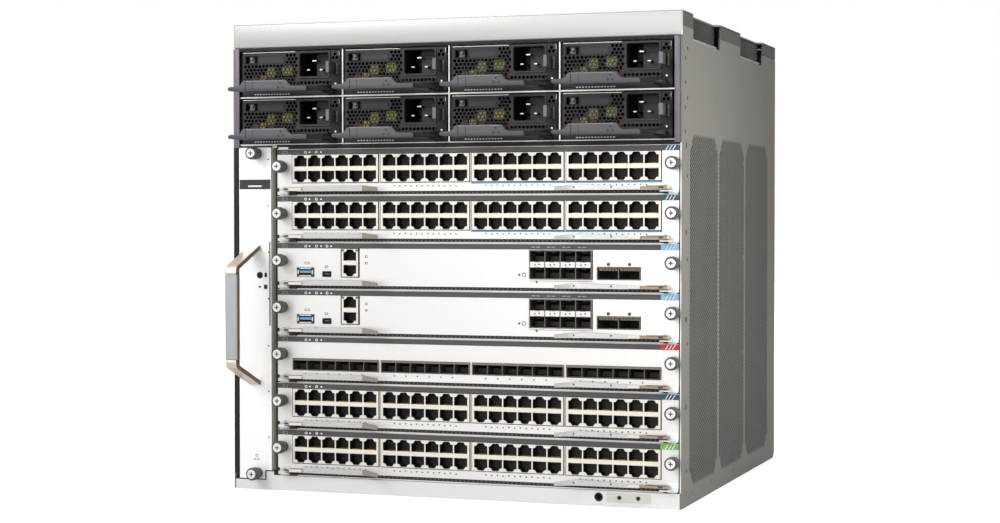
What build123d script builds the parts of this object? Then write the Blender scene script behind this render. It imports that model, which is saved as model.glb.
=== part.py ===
from build123d import *
import os

# Modular chassis switch, ten rack units high, with a fan tray, seven card slots and eight
# power supply bays. X runs to the right, Y to the back and Z up; the origin is the middle of
# the underside. All sizes are in millimetres.

# Sheet metal and the gaps between pieces
sheet = 1.6
seat_gap = 0.3
slide_gap = 0.75

# Port blocks on the cards, which set the width of a card
port_pitch = 14.15
ports_per_row = 6
group_count = 4
group_edge = 2.3
group_gap = 0.83
left_margin = 14.9
right_margin = 15.6

# Card slots, counted from the top
slot_count = 7
slot_pitch = 44.2
rail_height = 14.2
card_depth = 325.0
card_sheet = 1.2
face_thickness = 2.0
header_height = 3.8
header_proud = 0.8
tray_height = 2.2
gasket_height = 1.9
board_thickness = 1.6
port_base = 12.3
port_block_height = 26.7
port_block_depth = 13.0
port_proud = 1.0

# Fan bay at the left of the cards
fan_bay_width = 38.1
divider_width = 5.6
fan_bore = 114.0
fan_pitch = 124.0
fan_columns = 3
fan_rows = 2
fan_row_pitch = 150.0
fan_thickness = 25.0
rear_space = 42.0

# Power supply bays, two rows of four above the cards
bay_columns = 4
row_count = 2
row_pitch = 45.0
shelf_gap = 3.4
post_width = 6.7
bay_divider = 1.2
bay_side_gap = 1.85
supply_gap_below = 0.3
supply_gap_above = 1.1
supply_depth = 300.0
supply_setback = 1.0

# Sockets of both backplanes
socket_depth = 6.0
backplane_thickness = 4.0

# Front bezel and the covers
bezel_gap = 1.1
lip_gap = 0.6
bezel_height = 22.5
bezel_depth = 4.0
cover_flange = 13.2
seam = 0.3

# Sizes that follow from the driving ones
group_width = ports_per_row * port_pitch + 2 * group_edge
ports_width = group_count * group_width + (group_count - 1) * group_gap
card_width = left_margin + ports_width + right_margin
chassis_width = 2 * sheet + fan_bay_width + divider_width + 2 * slide_gap + card_width
chassis_depth = fan_columns * fan_pitch + rear_space
slots_top = rail_height + slot_count * slot_pitch
shelf_base = slots_top + shelf_gap
shelf_top = shelf_base + row_count * row_pitch + sheet
bezel_base = shelf_top + bezel_gap
chassis_height = bezel_base + bezel_height

front = -chassis_depth / 2
back = chassis_depth / 2
outer = chassis_width / 2
inner = outer - sheet
card_right = inner - slide_gap
card_left = card_right - card_width
divider_right = card_left - slide_gap
divider_left = divider_right - divider_width
bay_pitch = (chassis_width - 2 * post_width) / bay_columns
supply_width = bay_pitch - bay_divider - 2 * bay_side_gap
supply_height = row_pitch - sheet - supply_gap_below - supply_gap_above
backplane_front = front + card_depth + seat_gap + socket_depth
power_board_front = front + supply_depth + seat_gap + socket_depth


def block(x, y, z):
    """Box between a low and a high value on each axis."""
    size = [high - low for low, high in (x, y, z)]
    middle = [(high + low) / 2 for low, high in (x, y, z)]
    return Pos(*middle) * Box(*size)


def upright(points, near, far):
    """Outline of (x, z) points, extruded along Y from near to far."""
    face = make_face(Polyline([(x, near, z) for x, z in points], close=True))
    return extrude(face, amount=far - near, dir=(0, 1, 0))


def level(points, low, high):
    """Outline of (x, y) points, extruded along Z from low to high."""
    face = make_face(Polyline([(x, y, low) for x, y in points], close=True))
    return extrude(face, amount=high - low, dir=(0, 0, 1))


def sideways(points, low, high):
    """Outline of (y, z) points, extruded along X from low to high."""
    face = make_face(Polyline([(low, y, z) for y, z in points], close=True))
    return extrude(face, amount=high - low, dir=(1, 0, 0))


def rod_along_y(x, z, near, far, radius):
    """Round bar along Y."""
    turned = Pos(x, (near + far) / 2, z) * Rot(90, 0, 0)
    return turned * Cylinder(radius, far - near)


def facets_along_y(x, z, near, far, radius, sides):
    """Bar along Y with flats, as on a knurled head."""
    plane = Plane(origin=(x, near, z), x_dir=(1, 0, 0), z_dir=(0, 1, 0))
    return extrude(plane * RegularPolygon(radius, sides), amount=far - near)


def rod_along_x(low, high, y, z, radius):
    """Round bar along X."""
    turned = Pos((low + high) / 2, y, z) * Rot(0, 90, 0)
    return turned * Cylinder(radius, high - low)


def facets_along_x(low, high, y, z, radius, sides):
    """Bar along X with flats that lie at the radius."""
    plane = Plane(origin=(low, y, z), x_dir=(0, 1, 0), z_dir=(1, 0, 0))
    return extrude(plane * RegularPolygon(radius, sides, major_radius=False), amount=high - low)


def slot_base(slot):
    """Height of the bottom of a card slot; slot 1 is the topmost."""
    return rail_height + (slot_count - slot) * slot_pitch


# Side panels with vent fields, lifting recesses and bracket holes

vent_fields = 3
vent_width = 110.0
vent_rib = 7.5
vent_front = 30.0
vent_base = 16.7
vent_height = 317.3
vent_corner = 14.0
vent_bars = 2
vent_bar_width = 6.0
recess_count = 2
recess_front = 41.0
recess_pitch = 198.0
recess_length = 108.0
recess_height = 24.5
recess_reach = 6.0
bracket_hole_radius = 2.0
bracket_hole_inset = 12.5
bracket_hole_height = 335.0
bracket_hole_pitch = 66.0
bracket_hole_count = 2
lift_plate_setback = 3.6
lift_plate_drop = 4.5
lift_plate_foot = 10.0
lift_lip_setback = 1.2
lift_plate_ends = (4.0, 10.0)


def recess_span(number):
    """Front and back of one lifting recess."""
    start = front + recess_front + number * recess_pitch
    return start, start + recess_length


def vent_outline(field):
    """Rectangle with cut corners for one vent field, as (y, z) points."""
    y0 = front + vent_front + field * (vent_width + vent_rib)
    y1 = y0 + vent_width
    z0 = vent_base
    z1 = vent_base + vent_height
    c = vent_corner
    return [(y0 + c, z0), (y1 - c, z0), (y1, z0 + c), (y1, z1 - c),
            (y1 - c, z1), (y0 + c, z1), (y0, z1 - c), (y0, z0 + c)]


def side_panel(side):
    """One side sheet with open vent fields: side is 1 for the right and -1 for the left."""
    top = chassis_height - cover_flange - seam
    low, high = sorted((side * inner, side * outer))
    cuts = []
    bars = []
    for field in range(vent_fields):
        cuts.append(sideways(vent_outline(field), low - 1, high + 1))
        for bar in range(1, vent_bars + 1):
            y = front + vent_front + field * (vent_width + vent_rib) + bar * vent_width / (vent_bars + 1)
            bar_y = (y - vent_bar_width / 2, y + vent_bar_width / 2)
            bars.append(block((low, high), bar_y, (vent_base, vent_base + vent_height)))
    for number in range(recess_count):
        y0, y1 = recess_span(number)
        floor = chassis_height - recess_height
        cuts.append(block((low - 1, high + 1), (y0, y1), (floor, top + 1)))
    for hole in range(bracket_hole_count):
        z = bracket_hole_height + hole * bracket_hole_pitch
        y = front + bracket_hole_inset
        cuts.append(rod_along_x(low - 1, high + 1, y, z, bracket_hole_radius))
    corner_y = (front - 1, front + bezel_depth + seam)
    cuts.append(block((low - 1, high + 1), corner_y, (bezel_base - seam, top + 1)))
    return [block((low, high), (front, back), (0, top)) - cuts] + bars


def top_cover():
    """Top sheet with flanges down both sides, notched at the lifting recesses."""
    base = chassis_height - cover_flange
    cover = block((-outer, outer), (front + bezel_depth + seam, back), (base, chassis_height))
    hollow = block((-inner, inner), (front - 1, back + 1), (base - 1, chassis_height - sheet))
    cuts = [hollow]
    for side in (-1, 1):
        low, high = sorted((side * (outer - recess_reach), side * (outer + 1)))
        for number in range(recess_count):
            cuts.append(block((low, high), recess_span(number), (base - 1, chassis_height + 1)))
    return cover - cuts


def lift_plates():
    """Four folded plates that stand on the power shelf and close the lifting recesses."""
    plates = []
    foot = shelf_top + sheet
    top = chassis_height - lift_plate_drop
    face = outer - lift_plate_setback
    lip = outer - lift_lip_setback
    heel = face - lift_plate_foot
    profile = [(heel, shelf_top), (lip, shelf_top), (lip, foot), (face, foot),
               (face, top), (face - sheet, top), (face - sheet, foot), (heel, foot)]
    for side in (-1, 1):
        for number in range(recess_count):
            y0, y1 = recess_span(number)
            points = [(side * x, z) for x, z in profile]
            plates.append(upright(points, y0 + lift_plate_ends[0], y1 - lift_plate_ends[1]))
    return plates


def bottom_pan():
    """Floor sheet between the side panels, with the runner that the fan tray slides on."""
    pan = block((-inner, inner), (front + bezel_depth + seam, back - sheet - seam), (0, sheet))
    runner_top = tray_low + frame_margin - seat_gap
    runner_y = (front + bezel_depth + seam, fans_front + fan_columns * fan_pitch)
    return pan + block((frame_left, frame_right), runner_y, (sheet / 2, runner_top))


# Rear panel

rear_vent_margin = 6.0
rear_vent_recess = 0.5


def rear_panel():
    """Rear sheet with a punched field behind each column of power supplies."""
    panel = block((-inner, inner), (back - sheet, back), (0, chassis_height - sheet - seam))
    half = supply_width / 2 - rear_vent_margin
    z_span = (shelf_base + rear_vent_margin, shelf_top - rear_vent_margin)
    cuts = []
    for column in range(bay_columns):
        x = bay_centre(column)
        cuts.append(block((x - half, x + half), (back - rear_vent_recess, back + 1), z_span))
    return panel - cuts


def bay_centre(column):
    """Middle of a power supply bay across the width."""
    return (column - (bay_columns - 1) / 2) * bay_pitch


def bay_floor(row):
    """Top of the plate that a power supply slides on; row 0 is the upper one."""
    return shelf_base + sheet + (row_count - 1 - row) * row_pitch


# Front bezel, bottom rail and the earth points

bezel_chamfer = 1.5
earth_pitch = 17.5
earth_x = 171.5
earth_z = 8.0
earth_hole_radius = 2.0
earth_pad = (41.5, 8.5)
earth_pad_proud = 0.3
jack_x = 143.5
jack_radius = 4.0
jack_bore = 2.1
jack_depth = 12.0
jack_sides = 8
rail_step = 4.5


def top_bezel():
    """Satin metal front strip with a turned-down top edge."""
    profile = [(front, bezel_base), (front + bezel_depth, bezel_base),
               (front + bezel_depth, chassis_height), (front + bezel_chamfer, chassis_height),
               (front, chassis_height - bezel_chamfer)]
    return sideways(profile, -outer, outer)


def bottom_rail():
    """Front rail stepped down below the fan tray, with the earth pad and wrist strap jack."""
    low = rail_height - rail_step
    points = [(-inner, 0), (inner, 0), (inner, rail_height - seam), (divider_left, rail_height - seam),
              (divider_left, low), (-inner, low)]
    rail = upright(points, front, front + bezel_depth)
    half_x, half_z = earth_pad[0] / 2, earth_pad[1] / 2
    pad_x = (earth_x - half_x, earth_x + half_x)
    pad_z = (earth_z - half_z, earth_z + half_z)
    rail += block(pad_x, (front - earth_pad_proud, front + bezel_depth), pad_z)
    rail += facets_along_y(jack_x, earth_z, front - seam, front + jack_depth + sheet, jack_radius, jack_sides)
    holes = [facets_along_y(jack_x, earth_z, front - 1, front + jack_depth, jack_bore, jack_sides)]
    for side in (-1, 1):
        x = earth_x + side * earth_pitch / 2
        holes.append(rod_along_y(x, earth_z, front - 1, front + bezel_depth + 1, earth_hole_radius))
    return rail - holes


# Power shelf

def power_shelf():
    """Plates and dividers, welded edge to edge, that form the power supply bays."""
    depth = (front + seam, power_board_front)
    width = (-inner, inner)
    pieces = []
    for row in range(row_count):
        plate_z = shelf_base + row * row_pitch
        pieces.append(block(width, depth, (plate_z, plate_z + sheet)))
        for divider in range(1, bay_columns):
            x = (divider - bay_columns / 2) * bay_pitch
            span = (x - bay_divider / 2, x + bay_divider / 2)
            divider_z = (plate_z + sheet, plate_z + row_pitch)
            pieces.append(block(span, (front + seam, front + supply_depth), divider_z))
    top_depth = (front + seam, back - sheet - seam)
    pieces.append(block(width, top_depth, (shelf_top - sheet, shelf_top)))
    lip_y = (front + seam, front + seam + sheet)
    pieces.append(block((divider_right, inner), lip_y, (slots_top + lip_gap, shelf_base)))
    return pieces


surround_proud = 1.5
surround_strip = 2.4


def power_surround():
    """Dark posts at both ends of the power bays, joined by a strip under the bezel."""
    post = post_width - sheet - seam
    z0 = slots_top + shelf_gap / 2
    z1 = bezel_base - seam
    strip = z1 - surround_strip
    edge = inner - seam
    points = [(-edge, z0), (-edge + post, z0), (-edge + post, strip), (edge - post, strip),
              (edge - post, z0), (edge, z0), (edge, z1), (-edge, z1)]
    return upright(points, front - surround_proud, front)


connector_width = 40.0
connector_height = 14.0
connector_lift = 6.0
board_depth = 3.0
board_side_gap = 4.0
board_rise = 3.0


def power_backplane():
    """Board behind the power supplies, low enough for their air, with a socket strip for each row."""
    y0 = power_board_front
    board_top = bay_floor(0) + connector_lift + connector_height + board_rise
    board_x = (-inner + board_side_gap, inner - board_side_gap)
    pieces = [block(board_x, (y0, y0 + board_depth), (shelf_base + sheet, board_top))]
    x_span = (bay_centre(0) - connector_width / 2, bay_centre(bay_columns - 1) + connector_width / 2)
    socket_y = (front + supply_depth + seat_gap, y0)
    for row in range(row_count):
        z = bay_floor(row) + connector_lift
        pieces.append(block(x_span, socket_y, (z, z + connector_height)))
    return pieces


# Card cage

tray_inset = 3.0
guide_reach = 5.0
guide_thickness = 1.4
guide_start = 8.0
post_front_depth = 24.0
post_back_depth = 30.0
post_flange = 14.0


def card_cage():
    """Floor and four corner posts between the fan bay and the right panel."""
    near = front + bezel_depth + seam
    board_back = backplane_front + backplane_thickness
    far = board_back + sheet
    right = inner - seam
    cage = block((divider_left, right), (near, far), (rail_height - sheet - seam, rail_height - seam))
    for edge, reach in ((divider_left, 1), (right, -1)):
        points = [(edge, backplane_front - post_back_depth),
                  (edge + reach * sheet, backplane_front - post_back_depth),
                  (edge + reach * sheet, board_back), (edge + reach * post_flange, board_back),
                  (edge + reach * post_flange, far), (edge, far)]
        cage += level(points, rail_height - sheet - seam, shelf_base - seam)
        points = [(edge, near), (edge + reach * sheet, near),
                  (edge + reach * sheet, near + post_front_depth), (edge, near + post_front_depth)]
        cage += level(points, rail_height - sheet - seam, shelf_base - seam)
    cage += block((divider_left, divider_right), (front + face_thickness, near + sheet),
                  (rail_height, shelf_base - seam))
    return cage


def card_guides():
    """Two rails for each slot, carried by the corner posts of the cage."""
    run = (front + bezel_depth + seam + guide_start, backplane_front - seam)
    rails = []
    for slot in range(1, slot_count + 1):
        top = slot_base(slot) + tray_height
        rail_z = (top - guide_thickness, top)
        rails.append(block((divider_left + sheet, card_left + tray_inset + guide_reach), run, rail_z))
        rails.append(block((card_right - tray_inset - guide_reach, inner - seam - sheet), run, rail_z))
    return rails


card_connector_width = 90.0


def backplane():
    """Circuit board across the back of the card cage with a socket for every slot."""
    y0 = backplane_front
    x_board = (divider_left + sheet + seam, inner - seam - sheet - seam)
    pieces = [block(x_board, (y0, y0 + backplane_thickness), (rail_height, shelf_base - seam))]
    for slot in range(1, slot_count + 1):
        z = slot_base(slot) + port_base
        x_span = (-card_connector_width / 2, card_connector_width / 2)
        socket_y = (front + card_depth + seat_gap, y0)
        pieces.append(block(x_span, socket_y, (z, z + connector_height)))
    return pieces


# Captive screws of the cards and the fan tray

screw_head_radius = 6.2
screw_head_length = 9.5
screw_neck_radius = 3.6
screw_proud = 15.0
screw_sides = 8
screw_neck_sides = 4


def captive_screw(x, z, face):
    """Knurled head on a neck, standing out of a face plate."""
    tip = face - screw_proud
    head = facets_along_y(x, z, tip, tip + screw_head_length, screw_head_radius, screw_sides)
    neck = facets_along_y(x, z, tip + screw_head_length, face, screw_neck_radius, screw_neck_sides)
    return head + neck


# Cards

screw_left_inset = 7.8
screw_right_inset = 7.4
screw_lift = 27.6
ear_width = 10.0
ear_reach = 4.0
ear_thickness = 1.2
ear_gap = 0.1
header_gap = 0.2
board_inset = 6.0
plug_depth = 14.0
window_gap = 0.15
copper_slots = (1, 2, 6, 7)
supervisor_slots = (3, 4)
cage_slots = (5,)
port_opening = (11.9, 9.6)
port_row_lift = (6.0, 20.3)
port_depth = 11.0
optic_pitch = 14.5
optic_opening = (13.3, 8.9)
optic_height = 10.6
optic_depth = 40.0
optic_row_pitch = 15.0
optic_rim = 0.5
optic_floor = 0.9
cage_back = 4.0


def group_left(group):
    """Left edge of one group of ports."""
    return card_left + left_margin + group * (group_width + group_gap)


def copper_block(left, base):
    """Twelve network sockets in two rows, latches facing away from each other."""
    y0 = front - port_proud
    body = block((left, left + group_width), (y0, y0 + port_block_depth), (base, base + port_block_height))
    pockets = []
    half_w, half_h = port_opening[0] / 2, port_opening[1] / 2
    for port in range(ports_per_row):
        x = left + group_edge + (port + 0.5) * port_pitch
        for lift in port_row_lift:
            z_span = (base + lift - half_h, base + lift + half_h)
            pockets.append(block((x - half_w, x + half_w), (y0 - 1, y0 + port_depth), z_span))
    return body - pockets


def optic_cage(left, base, columns, rows):
    """Row or stack of cages for optical modules."""
    width = columns * optic_pitch + 2 * optic_rim
    height = (rows - 1) * optic_row_pitch + optic_height
    y0 = front - port_proud
    body = block((left, left + width), (y0, y0 + optic_depth), (base, base + height))
    pockets = []
    for column in range(columns):
        x = left + optic_rim + (column + 0.5) * optic_pitch
        for row in range(rows):
            z = base + optic_floor + row * optic_row_pitch
            x_span = (x - optic_opening[0] / 2, x + optic_opening[0] / 2)
            pockets.append(block(x_span, (y0 - 1, y0 + optic_depth - cage_back), (z, z + optic_opening[1])))
    return body - pockets


def socket(x_span, z_span, depth, wall):
    """Small connector shell with one opening, closed at the back."""
    y0 = front - port_proud
    body = block(x_span, (y0, y0 + depth), z_span)
    inside_x = (x_span[0] + wall, x_span[1] - wall)
    inside_z = (z_span[0] + wall, z_span[1] - wall)
    return body - block(inside_x, (y0 - 1, y0 + depth - socket_back), inside_z)


# Supervisor connectors, as distances from the left end of the card and its port base
usb_left = 20.9
usb_width = 16.2
usb_height = 8.2
usb_depth = 14.0
usb_wall = 1.2
console_left = 46.6
console_width = 8.5
console_height = 4.8
console_depth = 9.0
console_wall = 0.8
socket_back = 2.0
stack_left = 65.6
stack_width = 18.3
uplink_left = 251.6
uplink_columns = 4
uplink_rows = 2
wide_left = 315.6
wide_width = 40.0
wide_height = 11.0
wide_wall = 0.8
wide_floor = 1.0


def stacked_pair(base):
    """Two network sockets, one over the other."""
    y0 = front - port_proud
    left = card_left + stack_left
    body = block((left, left + stack_width), (y0, y0 + port_block_depth), (base, base + port_block_height))
    x = left + stack_width / 2
    half_w, half_h = port_opening[0] / 2, port_opening[1] / 2
    pockets = []
    for lift in port_row_lift:
        z_span = (base + lift - half_h, base + lift + half_h)
        pockets.append(block((x - half_w, x + half_w), (y0 - 1, y0 + port_depth), z_span))
    return body - pockets


def wide_cage(base):
    """Two wide cages side by side for the fastest optical modules."""
    left = card_left + wide_left
    right = left + wide_width
    middle = left + wide_width / 2
    y0 = front - port_proud
    body = block((left, right), (y0, y0 + optic_depth), (base, base + wide_height))
    z_span = (base + wide_floor, base + wide_height - wide_floor)
    y_span = (y0 - 1, y0 + optic_depth - cage_back)
    pockets = [block((left + wide_wall, middle - wide_wall / 2), y_span, z_span),
               block((middle + wide_wall / 2, right - wide_wall), y_span, z_span)]
    return body - pockets


def card_connectors(slot, base):
    """The connector solids on the front of one card."""
    if slot in copper_slots:
        return [copper_block(group_left(group), base) for group in range(group_count)]
    if slot in cage_slots:
        inset = (group_width - ports_per_row * optic_pitch) / 2 - optic_rim
        return [optic_cage(group_left(group) + inset, base, ports_per_row, 1)
                for group in range(group_count)]
    left = card_left + usb_left
    usb = socket((left, left + usb_width), (base, base + usb_height), usb_depth, usb_wall)
    left = card_left + console_left
    console = socket((left, left + console_width), (base, base + console_height), console_depth, console_wall)
    uplinks = optic_cage(card_left + uplink_left, base, uplink_columns, uplink_rows)
    return [usb, console, stacked_pair(base), uplinks, wide_cage(base)]


def window_groups(slot, connectors):
    """First and last connector of each window: one long window, or one for each connector."""
    if slot in supervisor_slots:
        return [(piece, piece) for piece in connectors]
    return [(connectors[0], connectors[-1])]


def card(slot):
    """Face plate with its tray, board, plug, connectors and captive screws."""
    bottom = slot_base(slot)
    top = bottom + slot_pitch
    base = bottom + port_base
    tray_low = bottom + tray_height
    face_low = bottom + tray_height + gasket_height
    header_low = top - header_height - header_gap
    face_span = (front, front + face_thickness)
    width = (card_left, card_right)
    face = block(width, face_span, (face_low, header_low))
    header = block(width, (front - header_proud, face_span[1]), (header_low, top - header_gap))
    tray_x = (card_left + tray_inset, card_right - tray_inset)
    tray_front = front + face_thickness / 2
    tray = block(tray_x, (tray_front, front + card_depth), (tray_low, tray_low + card_sheet))
    lip = block(width, (tray_front, face_span[1]), (tray_low, face_low))
    shell = face + header + tray + lip
    pivots = lever_pivots(slot)
    for x, y in pivots:
        ear_top = lever_base(slot) - ear_gap
        shell += block((x - ear_width / 2, x + ear_width / 2), (y - ear_reach, front + face_thickness),
                       (ear_top - ear_thickness, ear_top))
    connectors = card_connectors(slot, base)
    cuts = []
    for first, last in window_groups(slot, connectors):
        low, high = first.bounding_box(), last.bounding_box()
        x_span = (low.min.X - window_gap, high.max.X + window_gap)
        z_span = (low.min.Z - window_gap, low.max.Z + window_gap)
        cuts.append(block(x_span, (front - 3, front + face_thickness + 1), z_span))
    shell -= cuts
    board_y = (front + face_thickness, front + card_depth - board_inset)
    board_x = (card_left + board_inset, card_right - board_inset)
    board = block(board_x, board_y, (base - board_thickness, base))
    plug_x = (-card_connector_width / 2, card_connector_width / 2)
    plug_y = (front + card_depth - plug_depth, front + card_depth)
    plug = block(plug_x, plug_y, (base, base + connector_height))
    screws = [captive_screw(card_left + screw_left_inset, bottom + screw_lift, front),
              captive_screw(card_right - screw_right_inset, bottom + screw_lift, front)]
    return [shell, board, plug] + connectors + screws


# Ejector levers of the cards

lever_lift = 3.6
lever_height = 7.4
lever_neck = 3.6
lever_length = 90.0
lever_hub = 4.0
lever_standoff = 4.6
lever_left_inset = 9.0
lever_right_inset = 11.0
blade_thickness = 1.8
blade_bend = 20.0
blade_flare = 9.0
neck_start = 18.0
neck_slope = 12.0


def lever_base(slot):
    """Underside of the ejector levers of a slot."""
    return slot_base(slot) + lever_lift


def lever_pivots(slot):
    """Pivot (x, y) of the left and the right lever."""
    y = front - lever_standoff
    return [(card_left + lever_left_inset, y), (card_right - lever_right_inset, y)]


def card_lever(slot, side):
    """Sheet blade with a cam end; side is 0 for the left lever and 1 for the right."""
    x, y = lever_pivots(slot)[side]
    reach = 1 if side == 0 else -1
    low = lever_base(slot)
    near = lever_hub * 0.6
    bend = lever_length - blade_bend
    outline = [(-lever_hub, 0), (-1.5, -lever_hub), (bend, -near),
               (lever_length - 3, -near - blade_flare), (lever_length, -near - blade_flare),
               (lever_length, -near - blade_flare + blade_thickness), (bend + 2, -near + blade_thickness),
               (14, -near + blade_thickness), (0, lever_hub)]
    plan = level([(x + reach * u, y + v) for u, v in outline], low, low + lever_height)
    side_view = [(-lever_hub - 1, low), (lever_length + 1, low), (lever_length + 1, low + lever_height),
                 (neck_start + neck_slope, low + lever_height), (neck_start, low + lever_neck),
                 (-lever_hub - 1, low + lever_neck)]
    form = upright([(x + reach * u, z) for u, z in side_view], y - 40, y + 20)
    return plan & form


# Power supplies

inlet_offset = 23.5
inlet_size = (33.5, 26.2)
inlet_lift = 28.0
inlet_frame = 2.2
inlet_proud = 2.0
inlet_depth = 18.0
switch_offset = -43.0
switch_size = (11.0, 6.6)
switch_lift = 34.8
rocker_proud = (0.3, 1.6)
latch_offset = 45.0
latch_size = (3.0, 14.0, 10.0)
latch_lift = 25.0
comb_radius = 4.2
comb_pitch = 9.0
comb_row_pitch = comb_pitch * 3 ** 0.5 / 2
comb_columns = 2
comb_rows = 2
comb_left = -44.0
comb_lift = 20.0
comb_depth = 4.0


def supply(row, column):
    """Power supply case with inlet, rocker, latch tab, lever ear and vent cells."""
    xc = bay_centre(column)
    floor = bay_floor(row)
    z0 = floor + supply_gap_below
    face = front + supply_setback
    half = supply_width / 2
    case = block((xc - half, xc + half), (face, front + supply_depth), (z0, z0 + supply_height))
    ix, iz = xc + inlet_offset, floor + inlet_lift
    hx, hz = inlet_size[0] / 2, inlet_size[1] / 2
    frame_y = (face - inlet_proud, face + 1)
    case += block((ix - hx, ix + hx), frame_y, (iz - hz, iz + hz))
    mouth_x = (ix - hx + inlet_frame, ix + hx - inlet_frame)
    mouth_z = (iz - hz + inlet_frame, iz + hz - inlet_frame)
    cuts = [block(mouth_x, (face - inlet_proud - 1, face + inlet_depth), mouth_z)]
    for comb_row in range(comb_rows):
        for comb_column in range(comb_columns - comb_row):
            cx = xc + comb_left + (comb_column + 0.5 + comb_row / 2) * comb_pitch
            cz = floor + comb_lift + comb_row * comb_row_pitch
            plane = Plane(origin=(cx, face - 1, cz), x_dir=(0, 0, 1), z_dir=(0, 1, 0))
            cuts.append(extrude(plane * RegularPolygon(comb_radius, 6), amount=comb_depth + 1))
    sx, sz = xc + switch_offset, floor + switch_lift
    well_x = (sx - switch_size[0] / 2, sx + switch_size[0] / 2)
    well_z = (sz - switch_size[1] / 2, sz + switch_size[1] / 2)
    case -= cuts
    rocker_points = [(face + 1, well_z[0]), (face + 1, well_z[1]),
                     (face - rocker_proud[0], well_z[1]), (face - rocker_proud[1], well_z[0])]
    case += sideways(rocker_points, *well_x)
    lx = xc + latch_offset
    latch_z = floor + latch_lift
    case += block((lx - latch_size[0] / 2, lx + latch_size[0] / 2), (face - latch_size[1], face + 1),
                  (latch_z - latch_size[2] / 2, latch_z + latch_size[2] / 2))
    px, py = supply_pivot(row, column)
    ear_top = floor + arm_low - ear_gap
    ear = block((px - ear_width / 2, px + ear_width / 2), (py - ear_width / 2, face + 1),
                (ear_top - ear_thickness, ear_top))
    return case + ear


# Ejector levers of the power supplies

pivot_offset = 42.0
pivot_standoff = 7.0
arm_low = 3.9
arm_high = 7.9
arm_reach = 25.0
arm_thickness = 6.5
block_left = -41.0
block_right = 5.0
block_top = 14.2
block_step = 2.2
arm_tip = -54.0


def supply_pivot(row, column):
    """Pivot (x, y) of a power supply lever."""
    return bay_centre(column) + pivot_offset, front + supply_setback - pivot_standoff


def supply_lever(row, column):
    """Moulded ejector lever: a raised grip block on a slim arm that swings about its right end."""
    xc = bay_centre(column)
    floor = bay_floor(row)
    px, py = supply_pivot(row, column)
    right = px + 4.5
    face = front - arm_reach
    rear = face + arm_thickness
    form = [(arm_tip, arm_low + 1.2), (block_left, arm_low), (right - xc, arm_low), (right - xc, arm_high),
            (block_right + 2 * block_step, arm_high), (block_right + block_step, arm_high + block_step),
            (block_right - 1, block_top), (block_left + 1, block_top), (block_left - 5, arm_high + 1.5),
            (arm_tip, arm_high + 0.6)]
    front_view = upright([(xc + x, floor + z) for x, z in form], face - 1, front)
    plan = [(xc + arm_tip, face + 1), (xc + arm_tip + 2, face), (xc + 18, face), (xc + 34, face + 5),
            (right, py - 2), (right, py + 2), (px, py + 4.5), (px - 8, rear + 4),
            (xc + 16, rear), (xc + arm_tip, rear)]
    return front_view & level(plan, floor, floor + row_pitch)


# Fan tray

tray_panel_width = 33.6
tray_panel_gap = 0.4
tray_top_gap = 1.7
tray_notch = (5.0, 9.0)
tray_screw_inset = 16.0
tray_screw_lift = (6.0, 5.0)
handle_reach = 50.0
handle_width = 12.0
handle_low = 104.0
handle_high = 228.0
grip_low = 126.0
grip_length = 80.0
handle_bar = 7.0
handle_strap = 6.0
button_inset = 12.0
button_z = 204.0
button_radius = 2.6
button_sides = 8
button_proud = 1.2
button_length = 5.2
button_gap = 0.1
bore_sides = 10
frame_margin = 4.0
frame_inset = 7.0
fan_setback = 4.0

tray_right = divider_left - tray_panel_gap
tray_left = tray_right - tray_panel_width
tray_low = rail_height - rail_step + seam
tray_high = shelf_base - tray_top_gap
frame_right = tray_right - frame_inset
frame_left = frame_right - fan_thickness
fans_front = front + face_thickness + fan_setback
fans_middle = (tray_low + tray_high) / 2
spider_width = 10.0
spider_depth = 3.0


def fan_centres():
    """Middle of every fan as (y, z)."""
    centres = []
    for row in range(fan_rows):
        z = fans_middle + (row - (fan_rows - 1) / 2) * fan_row_pitch
        for column in range(fan_columns):
            centres.append((fans_front + (column + 0.5) * fan_pitch, z))
    return centres


def fan_tray():
    """Front panel, fan frame with round bores, motor bars and captive screws."""
    outline = [(tray_left, tray_low), (tray_right - tray_notch[0], tray_low),
               (tray_right - tray_notch[0], tray_low + tray_notch[1]),
               (tray_right, tray_low + tray_notch[1]), (tray_right, tray_high), (tray_left, tray_high)]
    panel = upright(outline, front, front + face_thickness)
    bore = facets_along_y(tray_right - button_inset, button_z, front - 1, fans_front,
                          button_radius + button_gap, button_sides)
    frame = block((frame_left, frame_right), (front + face_thickness - 0.5, fans_front + fan_columns * fan_pitch),
                  (tray_low + frame_margin, tray_high - frame_margin))
    bores = [facets_along_x(frame_left - 1, frame_right + 1, y, z, fan_bore / 2, bore_sides)
             for y, z in fan_centres()]
    frame -= bores
    bars = []
    for column in range(fan_columns):
        y = fans_front + (column + 0.5) * fan_pitch
        bars.append(block((frame_right, frame_right + spider_depth),
                          (y - spider_width / 2, y + spider_width / 2),
                          (tray_low + frame_margin, tray_high - frame_margin)))
    tray = panel + frame - bore
    x = tray_left + tray_screw_inset
    screws = [captive_screw(x, tray_high - tray_screw_lift[0], front),
              captive_screw(x, tray_low + tray_screw_lift[1], front)]
    return [tray] + bars + screws


def beacon_button():
    """Small round push button in the fan tray panel."""
    x = tray_right - button_inset
    face = front - button_proud
    return facets_along_y(x, button_z, face, face + button_length, button_radius, button_sides)


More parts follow.
